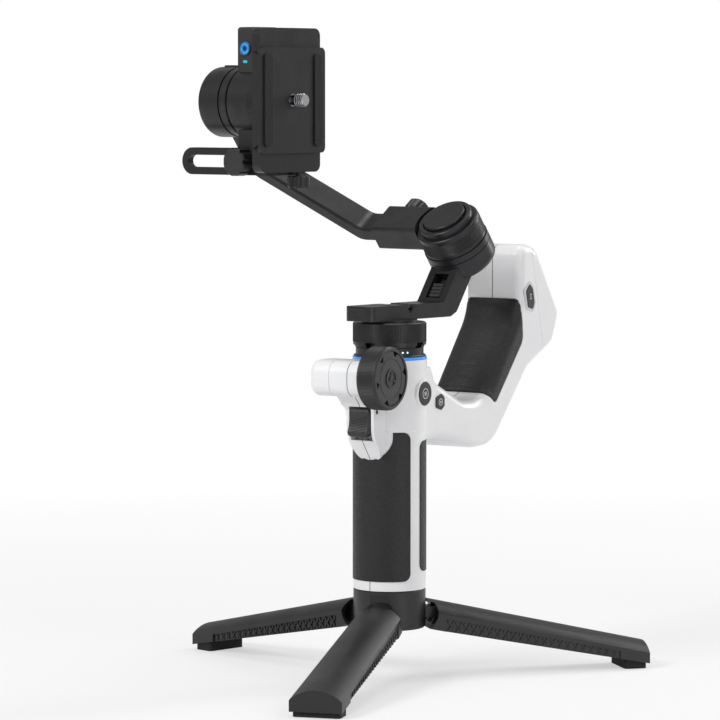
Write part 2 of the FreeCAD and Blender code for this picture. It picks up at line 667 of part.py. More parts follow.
@lru_cache(None)
def shell_body():
    """Both shell halves before they are parted, with every recess."""
    body = cylinder(GRIP_R, (0, 0, HUB_TOP + SEAM), (0, 0, HEAD_BOTTOM))
    head = cylinder(HEAD_R, (0, 0, HEAD_BOTTOM), (0, 0, HEAD_TOP))
    head = chamfer(head, 0.5, rim(z=HEAD_BOTTOM))
    body = body.fuse(head).fuse(nose_form()).fuse(barrel_form()).fuse(tail_form())
    body = body.cut(cylinder(CAVITY_R, (0, 0, HUB_TOP - 1), (0, 0, 140)))
    body = body.cut(cylinder(HEAD_CAVITY_R, (0, 0, 139), (0, 0, HEAD_TOP + 1)))
    body = body.cut(cylinder(SPIGOT_R, (0, 0, SPIGOT_BOTTOM), (0, 0, HEAD_TOP + 1)))
    bosses = [cylinder(SCREW_BOSS_R, (-TAIL_HALF_W + WALL, y, z), (TAIL_HALF_W - WALL, y, z)) for y, z in SHELL_SCREWS]
    body = body.cut(hollow(tail_corners(), TAIL_HALF_W).cut(bosses[0].multiFuse(bosses[1:])))
    bore = cylinder(WHEEL_SHAFT_R + 3.5, (BARREL_X[0] + 3, WHEEL_Y, WHEEL_Z), (BARREL_X[1] - 2.6, WHEEL_Y, WHEEL_Z))
    body = body.cut(bore).cut(cylinder(WHEEL_SHAFT_R + RUN, (0, WHEEL_Y, WHEEL_Z), (BARREL_X[1] + 1, WHEEL_Y, WHEEL_Z)))
    body = body.cut(wheel_pocket()).cut(trigger_slot())
    body = body.cut(cylinder(TRIGGER_PIN_R + RUN, (-20, *TRIGGER_PIVOT), (20, *TRIGGER_PIVOT)))
    body = body.cut(front_pad()).cut(rear_pad()).cut(tail_grip())
    body = body.cut(cylinder(BEZEL_R, (BEZEL_X[0], *BUTTON_YZ), (BEZEL_X[1] + 5, *BUTTON_YZ)))
    function_hole = side_button(FUNCTION_YZ, FUNCTION_SIZE, 0, 1.2, (TAIL_HALF_W - WALL - 1, TAIL_HALF_W + 2))
    bezel_hole = side_button(TAIL_BUTTON_YZ, TAIL_BUTTON_SIZE, TAIL_LEAN, 1.8, (TAIL_HALF_W - WALL - 1, TAIL_HALF_W + 2))
    body = body.cut(cylinder(ACCESSORY_R + 2.3, (-HEAD_R - 3, *ACCESSORY_YZ), (-HEAD_CAVITY_R + 1, *ACCESSORY_YZ)))
    return body.cut(function_hole).cut(bezel_hole).cut(screw_recesses()).cut(shell_screws())


def shell_half(side):
    """Half of the shell on one side of the middle plane; side is 1 for +X."""
    far = 60 * side
    away = sorted((-far, SEAM * side))
    half = shell_body().cut(box(away, (-60, 160), (0, 240)))
    if side < 0:
        half = half.cut(box((BARREL_X[0] - 1, BARREL_X[0] + BARREL_CAP_L + SEAM), (-45, -20.5), (140, 170)))
    return one(half)


def barrel_cap():
    """Cap on the barrel's free end, opposite the wheel."""
    piece = barrel_form().cut(cylinder(WHEEL_SHAFT_R + 3.5, (BARREL_X[0] + 3, WHEEL_Y, WHEEL_Z), (0, WHEEL_Y, WHEEL_Z)))
    return one(piece.common(box((BARREL_X[0] - 1, BARREL_X[0] + BARREL_CAP_L - SEAM), (-45, -20.5 - SEAM), (140, 170))))


# ---------------------------------------------------------------- inside the handle
def inner_frame():
    """Core of the grip: holds the thread insert at its foot and the battery above."""
    frame = cylinder(CAVITY_R - RUN, (0, 0, HUB_TOP + SEAM), (0, 0, BATTERY_Z[1] + 2))
    frame = frame.cut(cylinder(INSERT_R, (0, 0, HUB_TOP - 1), (0, 0, STUD_TOP + 1.5)))
    return one(frame.cut(cylinder(BATTERY_R + RUN, (0, 0, BATTERY_Z[0]), (0, 0, BATTERY_Z[1] + 5))))


def thread_insert():
    """Steel sleeve that the tripod's stud screws into."""
    sleeve = cylinder(INSERT_R, (0, 0, HUB_TOP + SEAM), (0, 0, STUD_TOP + 1.5))
    return one(sleeve.cut(cylinder(STUD_R + RUN, (0, 0, HUB_TOP - 1), (0, 0, STUD_TOP + 0.6))))


def battery():
    cell = cylinder(BATTERY_R, (0, 0, BATTERY_Z[0]), (0, 0, BATTERY_Z[1]))
    cell = fillet(cell, 0.8, rim(z=BATTERY_Z[1]))
    return one(cell.fuse(cylinder(3.0, (0, 0, BATTERY_Z[1]), (0, 0, BATTERY_Z[1] + 1.2))))


def main_board():
    return cylinder(HEAD_CAVITY_R - RUN, (0, 0, 156.4), (0, 0, 158.0))


def accessory_insert():
    """Steel thread on the -X side of the head for a light or a microphone."""
    outer_r = ACCESSORY_R + 2.3
    body = cylinder(outer_r, (-HEAD_R + 0.6, *ACCESSORY_YZ), (-HEAD_R + 0.6 + ACCESSORY_L, *ACCESSORY_YZ))
    return one(body.cut(cylinder(ACCESSORY_R, (-HEAD_R - 2, *ACCESSORY_YZ), (-HEAD_R - 0.4 + ACCESSORY_L, *ACCESSORY_YZ))))


# ---------------------------------------------------------------- wheel and trigger
def wheel_point(x):
    return (x, WHEEL_Y, WHEEL_Z)


def wheel_rim():
    """Rim with its shaft, which turns in the barrel's end wall."""
    low, high = WHEEL_X
    body = cylinder(WHEEL_R, wheel_point(low), wheel_point(high))
    body = chamfer(body, 0.9, lambda edge: rim(x=high)(edge) or rim(x=low)(edge))
    body = body.cut(cylinder(WHEEL_R - 2.2, wheel_point(high - 1.8), wheel_point(high + 1)))
    return one(body.fuse(cylinder(WHEEL_SHAFT_R, wheel_point(BARREL_X[0] + 8), wheel_point(low))))


def wheel_face():
    """Face plate with six notches round its edge and a raised centre."""
    high = WHEEL_X[1]
    plate = cylinder(WHEEL_R - 2.2, wheel_point(high - 1.8), wheel_point(high - 0.5))
    for i in range(6):
        notch = cylinder(1.7, (high - 1.2, WHEEL_Y, WHEEL_Z + WHEEL_R - 2.4), (high, WHEEL_Y, WHEEL_Z + WHEEL_R - 2.4))
        plate = plate.cut(turned(notch, 60 * i, wheel_point(0), (1, 0, 0)))
    boss = cylinder(5.2, wheel_point(high - 1.0), wheel_point(high + 0.2))
    return one(plate.fuse(fillet(boss, 0.4, rim(x=high + 0.2))))


def trigger():
    """Curved lever under the barrel, hung on two trunnions near its top."""
    half = TRIGGER_HALF_W
    y, z = TRIGGER_PIVOT
    flank = [(y + 2.6, TRIGGER_TOP_Z - 0.4, 1.5), (y + 2.6, z - 4.0, 2), (y - 1.6, z - 6.5, 3), (y - 1.4, TRIGGER_LOW_Z, 1.5),
             (y - 7.2, TRIGGER_LOW_Z, 2.2), (y - 4.4, z - 6.0, 14), (y - 4.6, TRIGGER_TOP_Z - 0.4, 2.0)]
    body = side_prism(flank, (-half, half))

    def front_edge(edge):
        on_flank = flat_at("X", half)(edge) or flat_at("X", -half)(edge)
        return on_flank and edge.BoundBox.YMax < y - 3.0
    body = fillet(body, 1.2, front_edge)
    face = rounded((-half, TRIGGER_LOW_Z - 0.1), (half, TRIGGER_TOP_Z - 0.3), TRIGGER_CORNER)
    body = body.common(front_prism(face, (y - 20, y + 20)))
    reach = NOSE_HALF_W - 0.3
    return one(body.fuse(cylinder(TRIGGER_PIN_R, (-reach, y, z), (reach, y, z))))


# ---------------------------------------------------------------- pan joint
def light_ring():
    low = HEAD_TOP + 0.05
    ring = cylinder(LIGHT_R, (0, 0, low), (0, 0, low + LIGHT_T))
    return one(ring.cut(cylinder(COLLAR_R, (0, 0, low - 1), (0, 0, low + 5))).cut(wheel_pocket()))


def lock_pocket(clear, z):
    """Space of the pan lock at the back of the collar."""
    return box((-PAN_LOCK_HALF_W - clear, PAN_LOCK_HALF_W + clear), (COLLAR_R - 2.4 - clear, PAN_R + 3), z)


def pan_collar():
    """Fixed half of the pan motor, with the shaft that the head turns on."""
    collar = cylinder(COLLAR_R, (0, 0, HEAD_TOP + 0.05), (0, 0, COLLAR_TOP))
    spigot = cylinder(SPIGOT_R - RUN, (0, 0, SPIGOT_BOTTOM), (0, 0, HEAD_TOP + 0.05))
    shaft = cylinder(SHAFT_R, (0, 0, COLLAR_TOP), (0, 0, PAN_TOP - 2.5))
    low = HEAD_TOP + 0.05 + LIGHT_T
    trim = chamfer(cylinder(LIGHT_R - 0.5, (0, 0, low), (0, 0, low + 1.0)), 0.4, rim(z=low + 1.0))
    body = collar.fuse(trim).fuse(spigot).fuse(shaft).cut(wheel_pocket())
    return one(body.cut(lock_pocket(0.1, (PAN_LOCK_Z[0] - 0.1, COLLAR_TOP + 1))))


def pan_lock():
    """Tab that lifts into a notch in the turning half."""
    tab = box((-PAN_LOCK_HALF_W, PAN_LOCK_HALF_W), (COLLAR_R - 2.4, PAN_R + 0.9), PAN_LOCK_Z)
    return chamfer(tab, 0.5, flat_at("Y", PAN_R + 0.9))


def head_pose(shape):
    """Turns a piece of the head from its own frame into the stored pose."""
    return turned(shape, PAN_REST)


def pan_rotor():
    low = COLLAR_TOP + GAP
    step = cylinder(PAN_R - 0.9, (0, 0, low), (0, 0, low + PAN_STEP))
    drum = chamfer(cylinder(PAN_R, (0, 0, low + PAN_STEP), (0, 0, PAN_TOP)), 0.5, rim(z=PAN_TOP))
    boss = cylinder(PAN_R - 4.5, (0, 0, PAN_TOP), (0, 0, ARM_BOTTOM))
    body = step.fuse(drum).fuse(boss)
    body = body.cut(cylinder(SHAFT_R + RUN, (0, 0, low - 1), (0, 0, PAN_TOP - 2.2)))
    body = body.cut(arm_screws())
    notch = lock_pocket(GAP, (low - 1, low + PAN_LOCK_LIFT + GAP))
    for quarter in range(4):
        body = body.cut(turned(notch, 90 * quarter - PAN_REST))
    return one(body)


def arm_screws():
    """Four like screws through the plate into the pan rotor."""
    top = ARM_BOTTOM + ARM_T
    screws = []
    for x in (-5.0, 5.0):
        for y in (-8.0, 8.0):
            head = cylinder(2.3, (x, y, top - 1.9), (x, y, top - 0.4))
            socket = plan_prism([(x + 1.25 * cos(radians(60 * i)), y + 1.25 * sin(radians(60 * i)), 0) for i in range(6)],
                                (top - 1.4, top))
            screws.append(head.cut(socket).fuse(cylinder(1.25, (x, y, ARM_BOTTOM - 6), (x, y, top - 1.9))))
    return Part.makeCompound(screws)


# ---------------------------------------------------------------- pan arm and roll joint
def roll_height():
    """Height of the roll motor's middle, set so that its axis meets the other two."""
    return TILT_Z - ROLL_Y * tan(radians(ROLL_TILT))


def on_roll(shape):
    """Places a shape drawn about the origin with +Z along the roll axis."""
    return moved(turned(shape, 90 - ROLL_TILT, axis=(1, 0, 0)), 0, ROLL_Y, roll_height())


def disc(radius, start, end):
    return cylinder(radius, (0, 0, start), (0, 0, end))


def along_arm(run, depth):
    """Point (y, z) at a run up the slanted arm's inner face and a depth below that face."""
    slope = radians(ARM_SLOPE)
    return (ARM_BEND_Y + run * cos(slope) + depth * sin(slope), ARM_BOTTOM + ARM_T + run * sin(slope) - depth * cos(slope))


def arm_block(run, depth, half_w, radius=0.0):
    """Block in the slanted arm between two runs and two depths."""
    corners = [along_arm(run[0], depth[0]), along_arm(run[1], depth[0]), along_arm(run[1], depth[1]),
               along_arm(run[0], depth[1])]
    return side_prism([corner + (radius,) for corner in corners], (-half_w, half_w))


def pan_arm():
    """Plate over the pan motor, slanted arm, and roll motor housing with its shaft."""
    top = ARM_BOTTOM + ARM_T
    flank = [(ARM_FRONT_Y, ARM_BOTTOM, 0.8), (ARM_FRONT_Y, top, 2.4), (ARM_BEND_Y, top, 1.5), along_arm(27, 0) + (0,),
             along_arm(27, ARM_DEPTH) + (0,), along_arm(1.5, ARM_DEPTH) + (2,), (ARM_BEND_Y + 5.5, ARM_BOTTOM, 3)]
    body = side_prism(flank, (-ARM_HALF_W, ARM_HALF_W))
    body = plan_mask(body)
    body = body.cut(arm_block(ARM_CHANNEL, (-3, ARM_CHANNEL_DEPTH), ARM_CHANNEL_HALF_W))
    screw_wells = [cylinder(2.3, (x, y, top - 1.9), (x, y, top + 1)) for x in (-5.0, 5.0) for y in (-8.0, 8.0)]
    body = body.cut(Part.makeCompound(screw_wells)).cut(arm_screws())
    housing = fillet(disc(ROLL_R, ROLL_REAR, 0), 4.0, rim(z=ROLL_REAR))
    groove = disc(ROLL_R + 1, ROLL_GROOVE - 0.25, ROLL_GROOVE + 0.25).cut(disc(ROLL_R - 0.5, -9, 9))
    seat = disc(REAR_CAP_R, ROLL_REAR - 1, ROLL_REAR + 1.0)
    shaft = disc(SHAFT_R, -2, DRUM_END - 2.5)
    front = disc(60, 0, 40)
    body = body.cut(on_roll(front)).fuse(on_roll(housing)).cut(on_roll(groove)).cut(on_roll(seat)).fuse(on_roll(shaft))
    return one(body)


def plan_mask(body):
    """Rounds the plate's front corners in plan."""
    half = ARM_HALF_W
    corners = [(-half, ARM_FRONT_Y, 5), (half, ARM_FRONT_Y, 5), (half, 90, 0), (-half, 90, 0)]
    return body.common(plan_prism(corners, (ARM_BOTTOM - 5, TILT_Z)))


def rear_cap():
    cap = fillet(disc(REAR_CAP_R - RUN, ROLL_REAR - 0.4, ROLL_REAR + 1.0), 0.35, rim(z=ROLL_REAR - 0.4))
    return one(on_roll(cap))


def roll_lock():
    """Slider in the slanted arm's channel."""
    depth = (0.6, ARM_CHANNEL_DEPTH - 0.15)
    body = arm_block((ARM_CHANNEL[0] + 1.0, ARM_CHANNEL[0] + 9.5), depth, ARM_CHANNEL_HALF_W - 1.1, 0.8)
    for i in range(3):
        run = ARM_CHANNEL[0] + 3.0 + 2.0 * i
        body = body.cut(arm_block((run - 0.35, run + 0.35), (0, 1.2), ARM_CHANNEL_HALF_W))
    return one(body)


def roll_drum():
    drum = disc(DRUM_R, GAP, DRUM_END)
    drum = fillet(drum, 1.0, rim(z=DRUM_END))
    return one(on_roll(drum.cut(disc(SHAFT_R + RUN, -1, DRUM_END - 2.2))))


def roll_cap():
    """Stepped front cap of the roll motor: outer ring, groove and raised middle."""
    ring = fillet(disc(ROLL_RING_R, DRUM_END, ROLL_RING_END), 0.8, rim(z=ROLL_RING_END))
    ring = ring.cut(disc(ROLL_CAP_R + 0.8, DRUM_END + 1.0, 40))
    middle = fillet(disc(ROLL_CAP_R, DRUM_END, ROLL_CAP_END), 0.6, rim(z=ROLL_CAP_END))
    return one(on_roll(ring.fuse(middle)))


def ribbon(path, half):
    """Corners of a strip of constant width along a path of (u, v, radius)."""
    left, right = [], []
    for i, (u, v, radius) in enumerate(path):
        before = V(*path[max(i, 1)][:2], 0) - V(*path[max(i, 1) - 1][:2], 0)
        last = min(i, len(path) - 2)
        after = V(*path[last + 1][:2], 0) - V(*path[last][:2], 0)
        before.normalize()
        after.normalize()
        mid = (before + after).normalize()
        reach = half / mid.dot(before)
        left.append((u - mid.y * reach, v + mid.x * reach, radius))
        right.append((u + mid.y * reach, v - mid.x * reach, radius))
    return left + right[::-1]


def bar_hole(clear):
    """Space that the roll arm's bar takes in the sleeve."""
    half_t, half_w = BAR_T / 2 + clear, BAR_W / 2 + clear
    return box((SLEEVE_X[0] - 20, BAR_END_X + BAR_INWARD + GAP), (-half_w, half_w), (BAR_LEVEL - half_t, BAR_LEVEL + half_t))


def roll_sleeve():
    """Square guide on the drum's side that the roll arm slides in."""
    half_t, half_w = BAR_T / 2 + SLEEVE_WALL, BAR_W / 2 + SLEEVE_WALL
    body = box(SLEEVE_X, (-half_w, half_w), (BAR_LEVEL - half_t, BAR_LEVEL + half_t))
    body = fillet(body, 2.0, lambda edge: edge.BoundBox.XLength > 20)
    body = body.cut(bar_hole(0.15)).cut(disc(DRUM_R, -9, 40))
    knob_bore = cylinder(KNOB_SHAFT_R + RUN, (SLEEVE_KNOB_X, 0, BAR_LEVEL), (SLEEVE_KNOB_X, 30, BAR_LEVEL))
    return one(on_roll(body.cut(knob_bore)))


def knob(radius, shaft_r, shaft_l, height):
    """Thumb knob about +Z: its shaft points down from the origin."""
    head = chamfer(disc(radius, 0, height), 0.8, lambda edge: rim(z=height)(edge) or rim(z=0)(edge))
    for i in range(8):
        scallop = cylinder(1.6, (radius + 0.7, 0, -1), (radius + 0.7, 0, height + 1))
        head = head.cut(turned(scallop, 45 * i))
    return one(head.fuse(disc(shaft_r, -shaft_l, 0)))


def sleeve_knob():
    reach = BAR_W / 2 + SLEEVE_WALL + GAP
    piece = turned(knob(KNOB_R, KNOB_SHAFT_R, SLEEVE_WALL + 0.1, 7.0), -90, axis=(1, 0, 0))
    return on_roll(moved(piece, SLEEVE_KNOB_X, reach, BAR_LEVEL))


# ---------------------------------------------------------------- roll arm and tilt joint
def tilt_disc(radius, x):
    return cylinder(radius, (x[0], 0, TILT_Z), (x[1], 0, TILT_Z))


def pivot_run():
    """Distance from the roll motor's middle to the point where the axes meet."""
    return ROLL_Y / cos(radians(ROLL_TILT))


def roll_arm():
    """Bar, diagonal and side member that carry the tilt motor."""
    path = [(BAR_END_X, BAR_LEVEL, 0), (BAR_BEND_X, BAR_LEVEL, 9), (SIDE_X, SIDE_BEND, 14), (SIDE_X, pivot_run() - 6, 0)]
    face = Part.Face(outline(ribbon(path, BAR_T / 2), lambda u, v: V(u, -BAR_W / 2, v)))
    body = face.extrude(V(0, BAR_W, 0))

    def long_edge(edge):
        return flat_at("Y", BAR_W / 2)(edge) or flat_at("Y", -BAR_W / 2)(edge)
    body = chamfer(body, 1.2, long_edge)
    return one(on_roll(body).cut(tilt_disc(TILT_R, STATOR_X)))


def tilt_stator():
    housing = fillet(tilt_disc(TILT_R, STATOR_X), 3.5, rim(x=STATOR_X[0]))
    housing = housing.cut(tilt_disc(TILT_CAP_R, (STATOR_X[0] - 1, STATOR_X[0] + 0.8)))
    ring = tilt_disc(TILT_RING_R, (STATOR_X[1], ROTOR_X[0] - GAP))
    shaft = tilt_disc(SHAFT_R, (STATOR_X[1], ROTOR_X[1] - 6))
    pocket = tilt_lock_space(0.15, (TILT_LOCK_X[0] - 0.2, STATOR_X[1] + 1))
    return one(housing.fuse(ring).fuse(shaft).cut(pocket))


def tilt_lock_space(clear, x):
    return box(x, (-TILT_LOCK_HALF_W - clear, TILT_LOCK_HALF_W + clear), (TILT_Z + TILT_RING_R + 0.4 - clear, TILT_Z + 30))


def tilt_lock():
    """Tab on top of the stator that slides over the gap."""
    low = TILT_Z + TILT_RING_R + 0.4
    tab = box(TILT_LOCK_X, (-TILT_LOCK_HALF_W, TILT_LOCK_HALF_W), (low, TILT_Z + TILT_R + 0.8))
    return chamfer(tab, 0.4, flat_at("Z", TILT_Z + TILT_R + 0.8))


def tilt_cap():
    cap = tilt_disc(TILT_CAP_R - RUN, (STATOR_X[0] - 0.3, STATOR_X[0] + 0.8))
    return fillet(cap, 0.25, rim(x=STATOR_X[0] - 0.3))


def tilt_rotor():
    drum = tilt_disc(TILT_R, ROTOR_X)
    drum = chamfer(drum, 0.6, rim(x=ROTOR_X[0]))
    return one(drum.cut(tilt_disc(SHAFT_R + RUN, (ROTOR_X[0] - 1, ROTOR_X[1] - 5.7))))


def module():
    """Tracking camera housing on top of the tilt rotor."""
    body = box(MODULE_X, MODULE_Y, MODULE_Z)
    body = fillet(body, 1.6, lambda edge: edge.BoundBox.ZMax > MODULE_Z[1] - 1e-3 or edge.BoundBox.ZLength > 20)
    body = body.cut(tilt_disc(TILT_R, (MODULE_X[0] - 1, MODULE_X[1] + 1)))
    body = body.cut(cylinder(LENS_R, (LENS_X, MODULE_Y[0] - 1, LENS_Z), (LENS_X, MODULE_Y[0] + 3, LENS_Z)))
    return one(body.cut(lamp_block(0)))


def module_optics():
    """Lens and signal lamp in the module's front."""
    lens = cylinder(LENS_R - RUN, (LENS_X, MODULE_Y[0] - 0.5, LENS_Z), (LENS_X, MODULE_Y[0] + 3, LENS_Z))
    return Part.makeCompound([fillet(lens, 0.4, rim(y=MODULE_Y[0] - 0.5)), lamp_block(0.1)])


def lamp_block(proud):
    corners = rounded((LENS_X - 1.4, LAMP_Z - 0.7), (LENS_X + 1.4, LAMP_Z + 0.7), 0.5)
    return front_prism(corners, (MODULE_Y[0] - proud, MODULE_Y[0] + 1.2))


def clamp_lug():
    """Block under the tilt rotor that the bracket's slotted leg is clamped to."""
    body = box(LUG_X, LUG_Y, LUG_Z)
    body = fillet(body, 1.5, flat_at("Z", LUG_Z[0]))
    body = body.cut(tilt_disc(TILT_R, (LUG_X[0] - 1, LUG_X[1] + 1)))
    bore = cylinder(KNOB_SHAFT_R + RUN, (BRACKET_KNOB_X, -30, loop_middle()), (BRACKET_KNOB_X, LUG_Y[1] + 1, loop_middle()))
    return one(body.cut(bore))


# ---------------------------------------------------------------- bracket and quick release
def loop_middle():
    return (LOOP_Z[0] + LOOP_Z[1]) / 2


def bracket():
    """L bracket: upright beside the tilt rotor and slotted leg in front of the lug."""
    upright = box(BRACKET_X, BRACKET_Y, BRACKET_Z)
    upright = fillet(upright, 3.0, lambda edge: edge.BoundBox.XLength > 5 and edge.BoundBox.ZMin > BRACKET_Z[1] - 1)
    low, high = LOOP_Z
    end = (high - low) / 2
    leg_y = (BRACKET_Y[0], BRACKET_Y[0] + LOOP_T)
    face = [(LOOP_X, low, end - 0.01), (BRACKET_X[1], low, 0), (BRACKET_X[1], high, 0), (LOOP_X, high, end - 0.01)]
    slot_end = end - LOOP_WALL
    slot = rounded((LOOP_X + LOOP_WALL, low + LOOP_WALL), (SLOT_END_X, high - LOOP_WALL), slot_end - 0.01)
    return one(upright.fuse(front_prism(face, leg_y)).cut(front_prism(slot, (leg_y[0] - 1, leg_y[1] + 1))))


def bracket_knob():
    piece = turned(knob(KNOB_R + 1.0, KNOB_SHAFT_R, LUG_Y[1] - BRACKET_Y[0] - 1.5, 8.0), 90, axis=(1, 0, 0))
    return moved(piece, BRACKET_KNOB_X, BRACKET_Y[0] - GAP, loop_middle())


def rail_profile(clear):
    """Dovetail of the sliding plate in (x, z), larger by clear."""
    low, high = PLATE_Z
    deep, mouth = PLATE_X[0] - clear, BASE_X[1] + GAP / 2
    return [(deep, low - DOVETAIL - clear, 0), (deep, high + DOVETAIL + clear, 0), (mouth, high + clear, 0),
            (mouth, low - clear, 0)]


def quick_base():
    """Base with two undercut rails along Y."""
    body = box(BASE_X, BASE_Y, BASE_Z)
    body = fillet(body, 4.0, lambda edge: edge.BoundBox.XLength > 5)
    body = body.cut(front_prism(rail_profile(0.15), (BASE_Y[0] - 1, BASE_Y[1] + 1)))
    middle = (BASE_X[0] + BASE_X[1]) / 2
    bore = cylinder(BASE_KNOB_SHAFT_R + RUN, (middle, BASE_KNOB_Y, BASE_Z[0] - 1), (middle, BASE_KNOB_Y, BASE_Z[0] + 9))
    return one(body.cut(bore))


def base_knob():
    piece = turned(knob(KNOB_R - 0.5, BASE_KNOB_SHAFT_R, BASE_Z[0] + 8.5 - BRACKET_Z[0] + GAP, 6.5), 180, axis=(1, 0, 0))
    return moved(piece, (BASE_X[0] + BASE_X[1]) / 2, BASE_KNOB_Y, BRACKET_Z[0] - GAP)


def plate_slot(half_w, x):
    """Slot along Y about the middle of the plate."""
    middle = (PLATE_Z[0] + PLATE_Z[1]) / 2
    half_l = PLATE_SLOT_HALF_L - SCREW_HEAD_R + half_w
    return side_prism(rounded((-half_l, middle - half_w), (half_l, middle + half_w), half_w - 0.01), x)


def quick_plate():
    """Sliding plate that the camera is screwed to."""
    dovetail = front_prism(rail_profile(0), PLATE_Y)
    lap = box((BASE_X[1] + GAP / 2, PLATE_X[1]), PLATE_Y, (PLATE_Z[0] - PLATE_LAP, PLATE_Z[1] + PLATE_LAP))
    body = dovetail.fuse(fillet(lap, 3.0, lambda edge: edge.BoundBox.XLength > 1 and edge.BoundBox.YLength < 1
                                and edge.BoundBox.ZLength < 1))
    body = body.cut(plate_slot(SCREW_R + 0.3, (PLATE_X[0] - 1, PLATE_X[1] + 1)))
    return one(body.cut(plate_slot(SCREW_HEAD_R + 0.3, (PLATE_X[0] - 1, PLATE_X[0] + 2.3))))


def plate_pads():
    """Two rubber strips on the plate's face."""
    strips = []
    for low in (PLATE_Y[0] + 3.0, PLATE_Y[1] - 9.0):
        corners = rounded((low, PLATE_Z[0] - 1), (low + 6.0, PLATE_Z[1] + 1), 2.0)
        strips.append(side_prism(corners, (PLATE_X[1], PLATE_X[1] + PLATE_PAD_T)))
    return Part.makeCompound(strips)


def camera_screw():
    """Camera screw kept in the plate's slot by its head; its neck is thinner than its thread."""
    middle = (PLATE_Z[0] + PLATE_Z[1]) / 2
    head = cylinder(SCREW_HEAD_R, (PLATE_X[0] + 0.15, 0, middle), (PLATE_X[0] + 2.1, 0, middle))
    head = head.cut(box((PLATE_X[0], PLATE_X[0] + 1.1), (-5, 5), (middle - 0.6, middle + 0.6)))
    thread_start = PLATE_X[1] + SCREW_LIFT
    neck = cylinder(SCREW_NECK_R, (PLATE_X[0] + 2.1, 0, middle), (thread_start, 0, middle))
    thread = cylinder(SCREW_R, (thread_start, 0, middle), (SCREW_TIP_X, 0, middle))
    return one(head.fuse(neck).fuse(chamfer(thread, 0.5, rim(x=SCREW_TIP_X))))


# ---------------------------------------------------------------- all pieces
def on_leg(shape, azimuth):
    return turned(shape, azimuth)


def pieces():
    """Every piece by its node name, in the stored pose."""
    made = {"hub": hub()}
    made["leg_pins"] = Part.makeCompound([on_leg(leg_pin(), azimuth) for azimuth in LEG_AZIMUTHS])
    for name, azimuth in zip(("front", "rear", "side"), LEG_AZIMUTHS):
        made["leg_" + name] = on_leg(leg(), azimuth)
        made["foot_" + name] = on_leg(foot_pad(), azimuth)
    fixed = {"shell_left": shell_half(1), "shell_right": shell_half(-1), "barrel_cap": barrel_cap(),
             "front_pad": front_pad(), "rear_pad": rear_pad(), "inner_frame": inner_frame(), "thread_insert": thread_insert(),
             "battery": battery(), "main_board": main_board(),
             "shell_screws": shell_screws(), "light_ring": light_ring(), "pan_collar": pan_collar(),
             "mode_bezel": mode_bezel(),
             "tail_bezel": tail_bezel(), "tail_cover": tail_cover(), "tail_grip": tail_grip(),
             "control_panel": control_panel(), "screen_glass": screen_glass(),
             "accessory_insert": accessory_insert()}
    controls = {"wheel_rim": wheel_rim(), "wheel_face": wheel_face(), "trigger": trigger(),
                "mode_button": mode_button(), "function_button": function_button(), "tail_button": tail_button(),
                "joystick_ring": joystick_ring(), "joystick": joystick(), "pan_lock": pan_lock()}
    head = {"pan_rotor": pan_rotor(), "pan_arm": pan_arm(), "arm_screws": arm_screws(), "roll_rear_cap": rear_cap(),
            "roll_lock": roll_lock(), "roll_drum": roll_drum(), "roll_cap": roll_cap(),
            "roll_sleeve": roll_sleeve(), "sleeve_knob": sleeve_knob(), "roll_arm": roll_arm(),
            "tilt_stator": tilt_stator(), "tilt_lock": tilt_lock(), "tilt_cap": tilt_cap(), "tilt_rotor": tilt_rotor(),
            "tracking_module": module(), "tracking_optics": module_optics(),
            "clamp_lug": clamp_lug(), "bracket_knob": bracket_knob(), "bracket": bracket(),
            "quick_base": quick_base(), "base_knob": base_knob(), "quick_plate": quick_plate(),
            "plate_pads": plate_pads(), "camera_screw": camera_screw()}
    made.update(fixed)
    made.update(controls)
    made.update({name: head_pose(shape) for name, shape in head.items()})
    return made


def main():
    os.makedirs("parts", exist_ok=True)
    for name, shape in pieces().items():
        if not shape.isValid() or not shape.Solids:
            raise ValueError(name + " is not a sound solid")
        shape.exportStep("parts/" + name + ".step")
        print(name, len(shape.Solids), round(shape.Volume))


if __name__ == "__main__":
    main()
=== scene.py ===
import json
import math

import bmesh
import bpy
from mathutils import Matrix, Vector


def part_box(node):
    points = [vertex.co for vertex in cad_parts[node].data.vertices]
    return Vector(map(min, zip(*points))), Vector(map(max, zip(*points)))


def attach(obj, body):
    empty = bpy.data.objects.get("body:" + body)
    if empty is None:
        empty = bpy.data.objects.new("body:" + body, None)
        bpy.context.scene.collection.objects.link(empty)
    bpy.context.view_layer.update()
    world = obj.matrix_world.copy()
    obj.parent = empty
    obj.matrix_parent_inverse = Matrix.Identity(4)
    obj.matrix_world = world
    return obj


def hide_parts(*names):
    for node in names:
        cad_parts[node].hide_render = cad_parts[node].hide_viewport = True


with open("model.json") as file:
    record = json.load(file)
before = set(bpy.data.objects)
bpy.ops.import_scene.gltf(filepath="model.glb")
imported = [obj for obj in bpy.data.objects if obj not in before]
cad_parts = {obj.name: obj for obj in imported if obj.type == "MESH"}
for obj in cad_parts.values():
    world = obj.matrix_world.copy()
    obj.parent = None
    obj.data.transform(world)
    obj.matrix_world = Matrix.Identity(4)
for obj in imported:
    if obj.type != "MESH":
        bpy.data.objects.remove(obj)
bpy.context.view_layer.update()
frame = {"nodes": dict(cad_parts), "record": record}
nodes = frame["nodes"]
joints = {joint["name"]: joint for joint in frame["record"]["behaviour"]["joints"]}
MM = 0.001


# ---------------------------------------------------------------- white shells
# Two glass-filled nylon halves, spark-eroded to a satin grain, that meet on the
# handle's middle plane. The barrel's end cap and the tail's back cover match them.
SHELL_WHITE = (0.88, 0.88, 0.885)
SHELL_SHADE = (0.84, 0.84, 0.85)
PARTING_HALF_W = 0.22 * MM
PARTING_GREY = (0.16, 0.16, 0.17)


